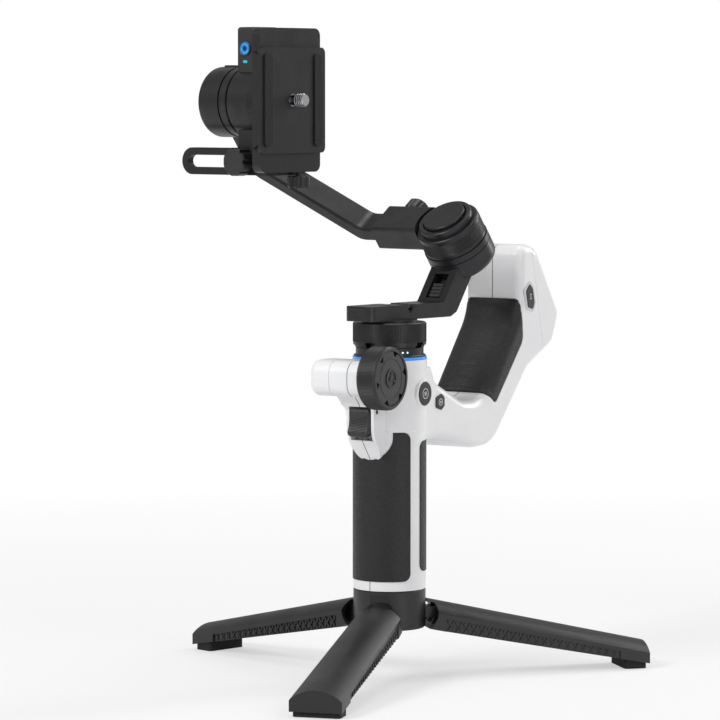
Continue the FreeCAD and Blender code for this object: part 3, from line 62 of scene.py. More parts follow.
def shader_group(name, inputs, outputs):
    """Empty shader group with named sockets, its way in and its way out."""
    group = bpy.data.node_groups.new(name, "ShaderNodeTree")
    for label, kind, value in inputs:
        socket = group.interface.new_socket(label, in_out="INPUT", socket_type=kind)
        if value is not None:
            socket.default_value = value
    for label, kind in outputs:
        group.interface.new_socket(label, in_out="OUTPUT", socket_type=kind)
    return group, group.nodes.new("NodeGroupInput"), group.nodes.new("NodeGroupOutput")


def spark_grain_group():
    """Fine moulded grain over slow, faint blotches left by handling."""
    group, way_in, way_out = shader_group(
        "spark_grain",
        [("Vector", "NodeSocketVector", None), ("Grain Scale", "NodeSocketFloat", 2500.0),
         ("Blotch Scale", "NodeSocketFloat", 40.0)],
        [("Height", "NodeSocketFloat"), ("Blotch", "NodeSocketFloat")])
    grain = group.nodes.new("ShaderNodeTexNoise")
    grain.inputs["Detail"].default_value = 3.0
    blotch = group.nodes.new("ShaderNodeTexNoise")
    blotch.inputs["Detail"].default_value = 4.0
    spread = group.nodes.new("ShaderNodeMapRange")
    spread.inputs["From Min"].default_value = 0.35
    spread.inputs["From Max"].default_value = 0.65
    link = group.links.new
    link(way_in.outputs["Vector"], grain.inputs["Vector"])
    link(way_in.outputs["Grain Scale"], grain.inputs["Scale"])
    link(way_in.outputs["Vector"], blotch.inputs["Vector"])
    link(way_in.outputs["Blotch Scale"], blotch.inputs["Scale"])
    link(grain.outputs["Fac"], way_out.inputs["Height"])
    link(blotch.outputs["Fac"], spread.inputs["Value"])
    link(spread.outputs["Result"], way_out.inputs["Blotch"])
    return group


spark_grain = spark_grain_group()


def grained(name, colour, shade, rough, grain_scale, depth, metallic=0.0, coat=0.0, blotch_scale=40.0):
    """Material whose colour and gloss drift slowly under a fine grain."""
    material = bpy.data.materials.new(name)
    material.use_nodes = True
    tree = material.node_tree
    skin = tree.nodes["Principled BSDF"]
    skin.inputs["Metallic"].default_value = metallic
    skin.inputs["Coat Weight"].default_value = coat
    place = tree.nodes.new("ShaderNodeTexCoord")
    grain = tree.nodes.new("ShaderNodeGroup")
    grain.node_tree = spark_grain
    grain.inputs["Grain Scale"].default_value = grain_scale
    grain.inputs["Blotch Scale"].default_value = blotch_scale
    tint = tree.nodes.new("ShaderNodeMix")
    tint.data_type = "RGBA"
    tint.inputs["A"].default_value = (*colour, 1)
    tint.inputs["B"].default_value = (*shade, 1)
    gloss = tree.nodes.new("ShaderNodeMapRange")
    gloss.inputs["To Min"].default_value = rough[0]
    gloss.inputs["To Max"].default_value = rough[1]
    bump = tree.nodes.new("ShaderNodeBump")
    bump.inputs["Distance"].default_value = depth
    bump.inputs["Strength"].default_value = 0.6
    link = tree.links.new
    link(place.outputs["Object"], grain.inputs["Vector"])
    link(grain.outputs["Blotch"], tint.inputs["Factor"])
    link(grain.outputs["Blotch"], gloss.inputs["Value"])
    link(grain.outputs["Height"], bump.inputs["Height"])
    link(tint.outputs["Result"], skin.inputs["Base Color"])
    link(gloss.outputs["Result"], skin.inputs["Roughness"])
    link(bump.outputs["Normal"], skin.inputs["Normal"])
    return material


def dress(material, *names):
    """Gives CAD nodes their finish."""
    for name in names:
        mesh = nodes[name].data
        mesh.materials.clear()
        mesh.materials.append(material)


def draw_parting_line(material):
    """Darkens the fine line where two halves meet on the middle plane, as dust and shadow do."""
    tree = material.node_tree
    place = tree.nodes["Texture Coordinate"]
    skin = tree.nodes["Principled BSDF"]
    under = skin.inputs["Base Color"].links[0].from_socket
    parts = tree.nodes.new("ShaderNodeSeparateXYZ")
    aside = tree.nodes.new("ShaderNodeMath")
    aside.operation = "ABSOLUTE"
    near = tree.nodes.new("ShaderNodeMath")
    near.operation = "LESS_THAN"
    near.inputs[1].default_value = PARTING_HALF_W
    line = tree.nodes.new("ShaderNodeMix")
    line.data_type = "RGBA"
    line.inputs["B"].default_value = (*PARTING_GREY, 1)
    link = tree.links.new
    link(place.outputs["Object"], parts.inputs["Vector"])
    link(parts.outputs["X"], aside.inputs[0])
    link(aside.outputs["Value"], near.inputs[0])
    link(near.outputs["Value"], line.inputs["Factor"])
    link(under, line.inputs["A"])
    link(line.outputs["Result"], skin.inputs["Base Color"])


satin_white = grained("satin_white", SHELL_WHITE, SHELL_SHADE, (0.30, 0.42), 3200.0, 0.00003,
                      coat=0.15)
halves_white = grained("satin_white_halves", SHELL_WHITE, SHELL_SHADE, (0.30, 0.42), 3200.0, 0.00003,
                       coat=0.15)
draw_parting_line(halves_white)
dress(halves_white, "shell_left", "shell_right")
dress(satin_white, "barrel_cap", "tail_cover")


# ---------------------------------------------------------------- inside the handle
# A ribbed nylon frame holds the cell and the round board, and the brass insert at
# the foot takes the tripod's stud. Steel screws clamp the halves over them.
frame_nylon = grained("frame_nylon", (0.05, 0.05, 0.052), (0.035, 0.035, 0.037), (0.5, 0.62), 2200.0, 0.00003)
cell_film = grained("cell_film", (0.10, 0.22, 0.45), (0.08, 0.18, 0.38), (0.2, 0.3), 900.0, 0.00001)
solder_mask = grained("solder_mask", (0.02, 0.16, 0.08), (0.015, 0.12, 0.06), (0.3, 0.4), 1500.0, 0.00002)
dress(frame_nylon, "inner_frame")
dress(cell_film, "battery")
dress(solder_mask, "main_board")

plated_steel = grained("plated_steel", (0.56, 0.56, 0.57), (0.46, 0.46, 0.48), (0.22, 0.34), 1800.0, 0.00002,
                       metallic=1.0, blotch_scale=260.0)
black_oxide = grained("black_oxide_screw", (0.06, 0.06, 0.062), (0.04, 0.04, 0.042), (0.3, 0.42),
                      1800.0, 0.00002, metallic=0.8, blotch_scale=260.0)
dress(plated_steel, "thread_insert", "leg_pins", "camera_screw", "accessory_insert")
dress(black_oxide, "shell_screws", "arm_screws")


# ---------------------------------------------------------------- rubber grips
# Soft rubber moulded over the handle's front and back and round the inside of the
# tail, with a leather-like pebble. The feet and plate strips are the same rubber.
PEBBLE_SCALE = 1500.0


def pebble_group():
    """Leather-like pebbles: rounded cells of uneven size with fine pores between."""
    group, way_in, way_out = shader_group(
        "pebble_grain",
        [("Vector", "NodeSocketVector", None), ("Scale", "NodeSocketFloat", PEBBLE_SCALE)],
        [("Height", "NodeSocketFloat"), ("Pore", "NodeSocketFloat")])
    stretch = group.nodes.new("ShaderNodeTexNoise")
    stretch.inputs["Scale"].default_value = 420.0
    wander = group.nodes.new("ShaderNodeMix")
    wander.data_type = "VECTOR"
    wander.inputs["Factor"].default_value = 0.0012
    cells = group.nodes.new("ShaderNodeTexVoronoi")
    cells.feature = "SMOOTH_F1"
    cells.inputs["Smoothness"].default_value = 0.35
    pore = group.nodes.new("ShaderNodeMapRange")
    pore.inputs["From Min"].default_value = 0.35
    pore.inputs["From Max"].default_value = 0.75
    turn_over = group.nodes.new("ShaderNodeMath")
    turn_over.operation = "SUBTRACT"
    turn_over.inputs[0].default_value = 1.0
    link = group.links.new
    link(way_in.outputs["Vector"], stretch.inputs["Vector"])
    link(way_in.outputs["Vector"], wander.inputs["A"])
    link(stretch.outputs["Color"], wander.inputs["B"])
    link(wander.outputs["Result"], cells.inputs["Vector"])
    link(way_in.outputs["Scale"], cells.inputs["Scale"])
    link(cells.outputs["Distance"], turn_over.inputs[1])
    link(turn_over.outputs["Value"], way_out.inputs["Height"])
    link(cells.outputs["Distance"], pore.inputs["Value"])
    link(pore.outputs["Result"], way_out.inputs["Pore"])
    return group


pebble_grain = pebble_group()


def rubber(name, colour, pore_colour, rough, scale, depth):
    material = bpy.data.materials.new(name)
    material.use_nodes = True
    tree = material.node_tree
    skin = tree.nodes["Principled BSDF"]
    skin.inputs["Specular IOR Level"].default_value = 0.42
    place = tree.nodes.new("ShaderNodeTexCoord")
    pebble = tree.nodes.new("ShaderNodeGroup")
    pebble.node_tree = pebble_grain
    pebble.inputs["Scale"].default_value = scale
    tint = tree.nodes.new("ShaderNodeMix")
    tint.data_type = "RGBA"
    tint.inputs["A"].default_value = (*colour, 1)
    tint.inputs["B"].default_value = (*pore_colour, 1)
    gloss = tree.nodes.new("ShaderNodeMapRange")
    gloss.inputs["To Min"].default_value = rough[0]
    gloss.inputs["To Max"].default_value = rough[1]
    bump = tree.nodes.new("ShaderNodeBump")
    bump.inputs["Distance"].default_value = depth
    link = tree.links.new
    link(place.outputs["Object"], pebble.inputs["Vector"])
    link(pebble.outputs["Pore"], tint.inputs["Factor"])
    link(pebble.outputs["Pore"], gloss.inputs["Value"])
    link(pebble.outputs["Height"], bump.inputs["Height"])
    link(tint.outputs["Result"], skin.inputs["Base Color"])
    link(gloss.outputs["Result"], skin.inputs["Roughness"])
    link(bump.outputs["Normal"], skin.inputs["Normal"])
    return material


pebbled_rubber = rubber("pebbled_rubber", (0.012, 0.012, 0.012), (0.007, 0.007, 0.007), (0.40, 0.56),
                        PEBBLE_SCALE, 0.00014)
foot_rubber = rubber("foot_rubber", (0.011, 0.011, 0.011), (0.006, 0.006, 0.006), (0.7, 0.85), 2600.0,
                     0.00008)
dress(pebbled_rubber, "front_pad", "rear_pad")
dress(foot_rubber, "foot_front", "foot_rear", "foot_side", "plate_pads")


# ---------------------------------------------------------------- tail grip
# The rubber on the tail's inner side is thicker along its middle, so that it fills
# the curled fingers. It is moulded in one piece and bonded into the shell's recess.
GRIP_CROWN = 3.4 * MM
GRIP_HALF_W = 16.5 * MM
GRIP_ENDS = (140.0 * MM, 190.0 * MM)
GRIP_FADE = 7.0 * MM
GRIP_IN = Vector((0, -0.75, 0.66)).normalized()


def merged_copy(node):
    """Plain mesh of a CAD node with its loose triangles joined."""
    mesh = nodes[node].data.copy()
    built = bmesh.new()
    built.from_mesh(mesh)
    bmesh.ops.remove_doubles(built, verts=built.verts, dist=2e-6)
    built.to_mesh(mesh)
    built.free()
    if "custom_normal" in mesh.attributes:
        mesh.attributes.remove(mesh.attributes["custom_normal"])
    return mesh


def apply_modifiers(piece):
    depsgraph = bpy.context.evaluated_depsgraph_get()
    mesh = bpy.data.meshes.new_from_object(piece.evaluated_get(depsgraph))
    piece.modifiers.clear()
    piece.data = mesh


tail_skin = bpy.data.objects.new("tail_grip_skin", merged_copy("tail_grip"))
bpy.context.collection.objects.link(tail_skin)
remesh = tail_skin.modifiers.new("even", "REMESH")
remesh.mode = "VOXEL"
remesh.voxel_size = 0.62 * MM
apply_modifiers(tail_skin)
for vertex in tail_skin.data.vertices:
    facing = vertex.normal.dot(GRIP_IN)
    across = 1 - (vertex.co.x / GRIP_HALF_W) ** 2
    ends = min(1.0, (vertex.co.z - GRIP_ENDS[0]) / GRIP_FADE, (GRIP_ENDS[1] - vertex.co.z) / GRIP_FADE)
    if facing > 0 and across > 0 and ends > 0:
        vertex.co += GRIP_IN * GRIP_CROWN * across * math.sin(ends * math.pi / 2) * min(1.0, facing * 1.6)
soften = tail_skin.modifiers.new("soften", "SMOOTH")
soften.factor = 0.5
soften.iterations = 5
apply_modifiers(tail_skin)
tail_skin.data.materials.clear()
tail_skin.data.materials.append(pebbled_rubber)
tail_skin.data.polygons.foreach_set("use_smooth", [True] * len(tail_skin.data.polygons))
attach(tail_skin, "handle")
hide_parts("tail_grip")


# ---------------------------------------------------------------- side buttons
# A white round button in its raised rim, a small black one behind it and a long
# one high on the tail, all in moulded plastic with plain printed signs.
MARK_THICKNESS = 0.06 * MM
FUNCTION_MIDDLE = sum(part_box("function_button"), Vector()) / 2
TAIL_BUTTON_MIDDLE = sum(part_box("tail_button"), Vector()) / 2
MODE_MIDDLE = sum(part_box("mode_button"), Vector()) / 2


def placed(centre, axis, up=(0, 0, 1)):
    """Matrix that takes local Z to the axis and local Y near to up."""
    z = Vector(axis).normalized()
    x = Vector(up).cross(z)
    if x.length < 1e-4:
        x = Vector((1, 0, 0)).cross(z)
    x.normalize()
    y = z.cross(x)
    turn = Matrix((x, y, z)).transposed().to_4x4()
    return Matrix.Translation(centre) @ turn


def ring_sign(inner, outer, sides=40):
    """Flat ring as quads, in millimetres."""
    quads = []
    for i in range(sides):
        a = 2 * math.pi * i / sides
        b = 2 * math.pi * (i + 1) / sides
        quads.append([(inner * math.cos(a), inner * math.sin(a)), (outer * math.cos(a), outer * math.sin(a)),
                      (outer * math.cos(b), outer * math.sin(b)), (inner * math.cos(b), inner * math.sin(b))])
    return quads


def dot_sign(radius, at=(0, 0), sides=24):
    angles = [2 * math.pi * i / sides for i in range(sides)]
    return [[(at[0] + radius * math.cos(angle), at[1] + radius * math.sin(angle)) for angle in angles]]


def bar_sign(u0, v0, u1, v1):
    return [[(u0, v0), (u1, v0), (u1, v1), (u0, v1)]]


def sign(name, body, material, place, shapes, thickness=MARK_THICKNESS):
    """Thin raised sign made of flat shapes in millimetres."""
    built = bmesh.new()
    for shape in shapes:
        built.faces.new([built.verts.new((u * MM, v * MM, -thickness)) for u, v in shape])
    bmesh.ops.remove_doubles(built, verts=built.verts, dist=1e-7)
    top = bmesh.ops.extrude_face_region(built, geom=built.faces[:])
    raised = [item for item in top["geom"] if isinstance(item, bmesh.types.BMVert)]
    bmesh.ops.translate(built, verts=raised, vec=(0, 0, 2 * thickness))
    bmesh.ops.recalc_face_normals(built, faces=built.faces)
    mesh = bpy.data.meshes.new(name)
    built.to_mesh(mesh)
    built.free()
    mesh.transform(place)
    mesh.materials.append(material)
    piece = bpy.data.objects.new(name, mesh)
    bpy.context.collection.objects.link(piece)
    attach(piece, body)
    return piece


button_white = grained("button_white", (0.66, 0.66, 0.68), (0.60, 0.60, 0.62), (0.32, 0.42), 2600.0, 0.00002,
                       coat=0.2)
button_black = grained("button_black", (0.021, 0.021, 0.022), (0.015, 0.015, 0.016), (0.42, 0.55), 2600.0,
                       0.00004)
printed_white = grained("printed_white", (0.70, 0.70, 0.71), (0.62, 0.62, 0.63), (0.5, 0.6), 2000.0, 0.00001)
dress(satin_white, "mode_bezel")
dress(button_black, "mode_button", "function_button", "tail_button")
dress(button_white, "tail_bezel")

mode_face = placed((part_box("mode_button")[1][0], MODE_MIDDLE[1], MODE_MIDDLE[2]), (1, 0, 0))
sign("mode_sign", "mode_button", printed_white, mode_face,
     ring_sign(2.35, 2.7) + bar_sign(-1.2, 0.55, 1.2, 0.9) + bar_sign(-1.2, -0.17, 1.2, 0.17)
     + bar_sign(-1.2, -0.9, 1.2, -0.55))
function_face = placed((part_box("function_button")[1][0], FUNCTION_MIDDLE[1], FUNCTION_MIDDLE[2]), (1, 0, 0))
sign("function_sign", "function_button", printed_white, function_face,
     ring_sign(1.5, 1.85) + dot_sign(0.6))
tail_face = placed((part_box("tail_button")[1][0], TAIL_BUTTON_MIDDLE[1], TAIL_BUTTON_MIDDLE[2]), (1, 0, 0))
sign("tail_sign", "tail_button", printed_white, tail_face,
     bar_sign(-0.9, 1.2, 0.9, 1.6) + bar_sign(-0.2, -0.9, 0.2, 1.6) + bar_sign(-0.9, -1.3, 0.9, -0.9))


# ---------------------------------------------------------------- control wheel
# A turned black wheel with fine straight ridges round its rim and a notched face
# plate. The ridges are rolled into the rim, so they turn with it.
WHEEL_RIDGES = 132
WHEEL_RIDGE = 0.24 * MM
WHEEL_EDGE = 1.5 * MM


def ridge_tree():
    """Ridges of diamond section standing round a drum about local Z."""
    tree = bpy.data.node_groups.new("ridges_round_a_drum", "GeometryNodeTree")
    sockets = (("Count", "NodeSocketInt"), ("Radius", "NodeSocketFloat"), ("Ridge Size", "NodeSocketFloat"),
               ("Length", "NodeSocketFloat"), ("Slant", "NodeSocketFloat"),
               ("Material", "NodeSocketMaterial"))
    for label, kind in sockets:
        tree.interface.new_socket(label, in_out="INPUT", socket_type=kind)
    tree.interface.new_socket("Geometry", in_out="OUTPUT", socket_type="NodeSocketGeometry")
    way_in = tree.nodes.new("NodeGroupInput")
    way_out = tree.nodes.new("NodeGroupOutput")
    circle = tree.nodes.new("GeometryNodeMeshCircle")
    ridge = tree.nodes.new("GeometryNodeMeshCylinder")
    ridge.inputs["Vertices"].default_value = 4
    lean = tree.nodes.new("GeometryNodeTransform")
    lean_angle = tree.nodes.new("ShaderNodeCombineXYZ")
    index = tree.nodes.new("GeometryNodeInputIndex")
    share = tree.nodes.new("ShaderNodeMath")
    share.operation = "DIVIDE"
    whole = tree.nodes.new("ShaderNodeMath")
    whole.operation = "MULTIPLY"
    whole.inputs[1].default_value = 2 * math.pi
    round_angle = tree.nodes.new("ShaderNodeCombineXYZ")
    copies = tree.nodes.new("GeometryNodeInstanceOnPoints")
    real = tree.nodes.new("GeometryNodeRealizeInstances")
    finish = tree.nodes.new("GeometryNodeSetMaterial")
    link = tree.links.new
    link(way_in.outputs["Count"], circle.inputs["Vertices"])
    link(way_in.outputs["Radius"], circle.inputs["Radius"])
    link(way_in.outputs["Ridge Size"], ridge.inputs["Radius"])
    link(way_in.outputs["Length"], ridge.inputs["Depth"])
    link(way_in.outputs["Slant"], lean_angle.inputs["X"])
    link(ridge.outputs["Mesh"], lean.inputs["Geometry"])
    link(lean_angle.outputs["Vector"], lean.inputs["Rotation"])
    link(index.outputs["Index"], share.inputs[0])
    link(way_in.outputs["Count"], share.inputs[1])
    link(share.outputs["Value"], whole.inputs[0])
    link(whole.outputs["Value"], round_angle.inputs["Z"])
    link(circle.outputs["Mesh"], copies.inputs["Points"])
    link(lean.outputs["Geometry"], copies.inputs["Instance"])
    link(round_angle.outputs["Vector"], copies.inputs["Rotation"])
    link(copies.outputs["Instances"], real.inputs["Geometry"])
    link(real.outputs["Geometry"], finish.inputs["Geometry"])
    link(way_in.outputs["Material"], finish.inputs["Material"])
    link(finish.outputs["Geometry"], way_out.inputs["Geometry"])
    return tree


ridges_round_a_drum = ridge_tree()


def grown(name, tree, values, place, body):
    """Runs a Geometry Nodes tree with these inputs and keeps the plain mesh that it makes."""
    piece = bpy.data.objects.new(name, bpy.data.meshes.new(name + "_start"))
    bpy.context.collection.objects.link(piece)
    maker = piece.modifiers.new("maker", "NODES")
    maker.node_group = tree
    for item in tree.interface.items_tree:
        if item.in_out == "INPUT" and item.name in values:
            maker[item.identifier] = values[item.name]
    depsgraph = bpy.context.evaluated_depsgraph_get()
    mesh = bpy.data.meshes.new_from_object(piece.evaluated_get(depsgraph))
    piece.modifiers.clear()
    mesh.transform(place)
    piece.data = mesh
    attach(piece, body)
    return piece


def ridged_band(name, body, material, place, radius, length, count, size, slant=0.0):
    values = {"Count": count, "Radius": radius, "Ridge Size": size, "Length": length, "Slant": slant,
              "Material": material}
    return grown(name, ridges_round_a_drum, values, place, body)


wheel_black = grained("wheel_black", (0.016, 0.016, 0.017), (0.011, 0.011, 0.012), (0.34, 0.46), 2800.0,
                      0.00003)
face_black = grained("wheel_face_black", (0.032, 0.032, 0.034), (0.025, 0.025, 0.027), (0.45, 0.58), 3400.0,
                     0.00005)
dress(wheel_black, "wheel_rim")

rim_low, rim_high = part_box("wheel_rim")
wheel_middle = Vector(joints["wheel_spin"]["pos_m"])
wheel_radius = (rim_high[2] - rim_low[2]) / 2
ridge_length = 8.2 * MM
wheel_middle.x = rim_high[0] - WHEEL_EDGE - ridge_length / 2
ridged_band("wheel_ridges", "wheel", wheel_black, placed(wheel_middle, (1, 0, 0)),
            wheel_radius - 0.06 * MM, ridge_length, WHEEL_RIDGES, WHEEL_RIDGE)
FACE_RADIUS = 13.7
NOTCHES = 6
NOTCH_HALF_ANGLE = math.radians(9)
face_low, face_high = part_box("wheel_face")
outline = []
for i in range(NOTCHES):
    middle = 2 * math.pi * i / NOTCHES + math.radians(12)
    start = middle + NOTCH_HALF_ANGLE
    stop = middle + 2 * math.pi / NOTCHES - NOTCH_HALF_ANGLE
    outline.append(((FACE_RADIUS - 2.6) * math.cos(middle), (FACE_RADIUS - 2.6) * math.sin(middle)))
    for step in range(9):
        angle = start + (stop - start) * step / 8
        outline.append((FACE_RADIUS * math.cos(angle), FACE_RADIUS * math.sin(angle)))
plate = bmesh.new()
base_x, top_x = face_low[0] + 0.05 * MM, face_high[0] - 0.45 * MM
plate_face = plate.faces.new([plate.verts.new((u * MM, v * MM, 0)) for u, v in outline])
pushed = bmesh.ops.extrude_face_region(plate, geom=[plate_face])
bmesh.ops.translate(plate, verts=[v for v in pushed["geom"] if isinstance(v, bmesh.types.BMVert)],
                    vec=(0, 0, top_x - base_x))
bmesh.ops.recalc_face_normals(plate, faces=plate.faces)
plate_mesh = bpy.data.meshes.new("wheel_plate")
plate.to_mesh(plate_mesh)
plate.free()
plate_mesh.transform(placed((base_x, wheel_middle.y, wheel_middle.z), (1, 0, 0)))
plate_mesh.materials.append(face_black)
wheel_plate = bpy.data.objects.new("wheel_plate", plate_mesh)
bpy.context.collection.objects.link(wheel_plate)
soft_edge = wheel_plate.modifiers.new("edge", "BEVEL")
soft_edge.width = 0.28 * MM
soft_edge.segments = 2
soft_edge.limit_method = "ANGLE"
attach(wheel_plate, "wheel")
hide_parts("wheel_face")
boss_face = placed((top_x, wheel_middle.y, wheel_middle.z), (1, 0, 0))
spoke = ((-0.7, 2.0), (0.7, 2.0), (0.7, 3.9), (-0.7, 3.9))
spokes = []
for i in range(3):
    c, s = math.cos(2 * math.pi * i / 3), math.sin(2 * math.pi * i / 3)
    spokes.append([(u * c - v * s, u * s + v * c) for u, v in spoke])
sign("wheel_boss_sign", "wheel", wheel_black, boss_face,
     ring_sign(3.7, 4.9) + dot_sign(1.5) + spokes, 0.45 * MM)
sign("wheel_groove_ring", "wheel", wheel_black, boss_face,
     ring_sign(9.9, 10.25, 60), 0.12 * MM)


# ---------------------------------------------------------------- trigger
# A curved black lever under the barrel, with slanted finger ridges moulded into
# the lower half of its front.
TRIGGER_RIDGES = 6
TRIGGER_RIDGE_R = 0.34 * MM
dress(button_black, "trigger")
trigger_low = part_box("trigger")[0]
finger_ridges = bmesh.new()
for i in range(TRIGGER_RIDGES):
    height = trigger_low[2] + (2.0 + 1.45 * i) * MM
    ends = []
    for x, rise in ((-4.4, -1.0), (4.4, 1.0)):
        start = Vector((x * MM, trigger_low[1] - 0.02, height + rise * MM))
        found, spot, _, _ = nodes["trigger"].ray_cast(start, Vector((0, 1, 0)))
        if found:
            ends.append(spot)
    if len(ends) == 2:
        middle = (ends[0] + ends[1]) / 2
        along = ends[1] - ends[0]
        bmesh.ops.create_cone(finger_ridges, cap_ends=True, segments=10, radius1=TRIGGER_RIDGE_R,
                              radius2=TRIGGER_RIDGE_R, depth=along.length,
                              matrix=placed(middle, along, (0, 1, 0)))
trigger_mesh = bpy.data.meshes.new("trigger_ridges")
finger_ridges.to_mesh(trigger_mesh)
finger_ridges.free()
trigger_mesh.materials.append(button_black)
trigger_bars = bpy.data.objects.new("trigger_ridges", trigger_mesh)
bpy.context.collection.objects.link(trigger_bars)
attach(trigger_bars, "trigger")


# ---------------------------------------------------------------- light ring and pan motor
# A clear light pipe glows blue under a black trim. Above it the motor's fixed half
# and its turning half are anodised aluminium, the upper one rolled with fine ridges.
PAN_RIDGES = 150


def glowing(name, colour, strength):
    """Light pipe that glows unevenly, brighter near its diodes."""
    material = bpy.data.materials.new(name)
    material.use_nodes = True
    tree = material.node_tree
    skin = tree.nodes["Principled BSDF"]
    skin.inputs["Base Color"].default_value = (*colour, 1)
    skin.inputs["Roughness"].default_value = 0.22
    skin.inputs["Emission Strength"].default_value = strength
    place = tree.nodes.new("ShaderNodeTexCoord")
    patch = tree.nodes.new("ShaderNodeTexNoise")
    patch.inputs["Scale"].default_value = 120.0
    tint = tree.nodes.new("ShaderNodeMix")
    tint.data_type = "RGBA"
    tint.inputs["A"].default_value = (*[c * 0.55 for c in colour], 1)
    tint.inputs["B"].default_value = (*colour, 1)
    tree.links.new(place.outputs["Object"], patch.inputs["Vector"])
    tree.links.new(patch.outputs["Fac"], tint.inputs["Factor"])
    tree.links.new(tint.outputs["Result"], skin.inputs["Emission Color"])
    return material


anodised = grained("dark_anodised", (0.033, 0.033, 0.035), (0.024, 0.024, 0.026), (0.30, 0.42),
                   2600.0, 0.00003, metallic=0.55, blotch_scale=90.0)
anodised_knurl = grained("anodised_ridges", (0.040, 0.040, 0.042), (0.030, 0.030, 0.032), (0.28, 0.38),
                         2600.0, 0.00002, metallic=0.6, blotch_scale=90.0)
blue_pipe = glowing("blue_light_pipe", (0.03, 0.24, 0.72), 0.5)
dress(blue_pipe, "light_ring")
dress(anodised, "pan_collar", "pan_rotor", "roll_rear_cap")
dress(button_black, "pan_lock", "roll_lock", "tilt_lock")

rotor_low, rotor_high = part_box("pan_rotor")
pan_radius = (rotor_high[0] - rotor_low[0]) / 2
pan_band = (172.5 * MM, 182.0 * MM)
pan_middle = (0, 0, (pan_band[0] + pan_band[1]) / 2)
ridged_band("pan_ridges", "pan_head", anodised_knurl, placed(pan_middle, (0, 0, 1), (0, 1, 0)),
            pan_radius - 0.05 * MM, pan_band[1] - pan_band[0], PAN_RIDGES, 0.24 * MM)

lamp_glow = glowing("status_lamps", (0.55, 0.85, 1.0), 1.6)
for count, azimuth in enumerate((-44.0, -35.0, -26.0)):
    out = Vector((math.cos(math.radians(azimuth)), math.sin(math.radians(azimuth)), 0))
    lamp_place = placed(out * 17.4 * MM + Vector((0, 0, 167.6 * MM)), out)
    sign(f"status_lamp_{count + 1}", "handle", lamp_glow, lamp_place, dot_sign(0.45), 0.12 * MM)


# ---------------------------------------------------------------- tail controls
# A black control panel on the tail's slope carries a glossy screen and a small
# joystick in a dished well, with plain arrows round it.
panel_black = grained("panel_black", (0.017, 0.017, 0.017), (0.011, 0.011, 0.012), (0.30, 0.42), 2600.0,
                      0.00002, coat=0.1)
stick_rubber = rubber("joystick_rubber", (0.022, 0.022, 0.024), (0.009, 0.009, 0.010), (0.55, 0.7), 2400.0,
                      0.00010)
screen_gloss = grained("screen_gloss", (0.004, 0.004, 0.005), (0.006, 0.006, 0.008), (0.04, 0.09), 200.0, 0.0,
                       coat=0.6)
dress(panel_black, "control_panel", "joystick_ring")
dress(stick_rubber, "joystick")
dress(screen_gloss, "screen_glass")
stick_middle = Vector(joints["joystick_yaw"]["pos_m"])
downhill = -Vector(joints["joystick_yaw"]["axis"]).normalized()
outward = Vector((1, 0, 0)).cross(downhill).normalized()
if outward.z < 0:
    outward = -outward
ray_start = stick_middle + downhill * 6.6 * MM + outward * 0.02
hit, panel_spot, _, _ = nodes["control_panel"].ray_cast(ray_start, -outward)
if hit:
    lift = (panel_spot - stick_middle).dot(outward)
    panel_place = placed(stick_middle + outward * lift, outward, downhill)
    arrow = [(-0.9, 6.2), (0.9, 6.2), (0, 7.3)]
    arrows = []
    for quarter in range(4):
        c, s = math.cos(quarter * math.pi / 2), math.sin(quarter * math.pi / 2)
        arrows.append([(u * c - v * s, u * s + v * c) for u, v in arrow])
    sign("panel_arrows", "handle", printed_white, panel_place, arrows)


# ---------------------------------------------------------------- folding tripod
# Glass-filled nylon hub and legs with a dry spark-eroded surface, ribbed beneath.
# Steel pins hinge the legs and a steel stud screws up into the handle.
LEG_AZIMUTHS = {"leg_front": -72.5, "leg_rear": 47.5, "leg_side": 167.5}
LEG_BODIES = {"leg_front": "front_leg", "leg_rear": "rear_leg", "leg_side": "side_leg"}
LEG_RUN = (18.9, 137.1)
LEG_LOW = (24.6, 2.6)
LEG_SHOULDER = (33.5, 8.2)
LEG_HALF_W = (12.0, 13.3)
LEG_CUT_RUN = (27.0, 121.0)
LEG_REBATE = 1.0
LEG_SKIRT = 2.0
LATTICE_BARS = 22
LATTICE_RUN = (30.0, 118.0)
LATTICE_BAR = (0.9 * MM, 0.9 * MM, 6.6 * MM)
LATTICE_LEAN = math.radians(34)
LATTICE_PROUD = 0.25
leg_nylon = grained("leg_nylon", (0.012, 0.012, 0.013), (0.009, 0.009, 0.009), (0.34, 0.46), 1900.0, 0.00005)
dress(leg_nylon, "hub")


def along_leg(ends, run):
    return ends[0] + (ends[1] - ends[0]) * (run - LEG_RUN[0]) / (LEG_RUN[1] - LEG_RUN[0])


def side_windows(azimuth):
    """Two tapered blocks that set the side walls back below the crease, for the lattice."""
    built = bmesh.new()
    for side in (-1, 1):
        ring = []
        for run in LEG_CUT_RUN:
            low = along_leg(LEG_LOW, run) - 3.0
            high = along_leg(LEG_SHOULDER, run) - LEG_SKIRT
            inner = along_leg(LEG_HALF_W, run) - LEG_REBATE
            for u, z in ((inner, low), (inner + 6, low), (inner + 6, high), (inner, high)):
                ring.append(built.verts.new((run * MM, side * u * MM, z * MM)))
        near, far = ring[:4], ring[4:]
        built.faces.new(near)
        built.faces.new(far[::-1])
        for i in range(4):
            built.faces.new((near[i], far[i], far[(i + 1) % 4], near[(i + 1) % 4]))
    bmesh.ops.recalc_face_normals(built, faces=built.faces)
    mesh = bpy.data.meshes.new("side_windows")
    built.to_mesh(mesh)
    built.free()
    mesh.transform(Matrix.Rotation(math.radians(azimuth), 4, "Z"))
    return bpy.data.objects.new("side_windows", mesh)


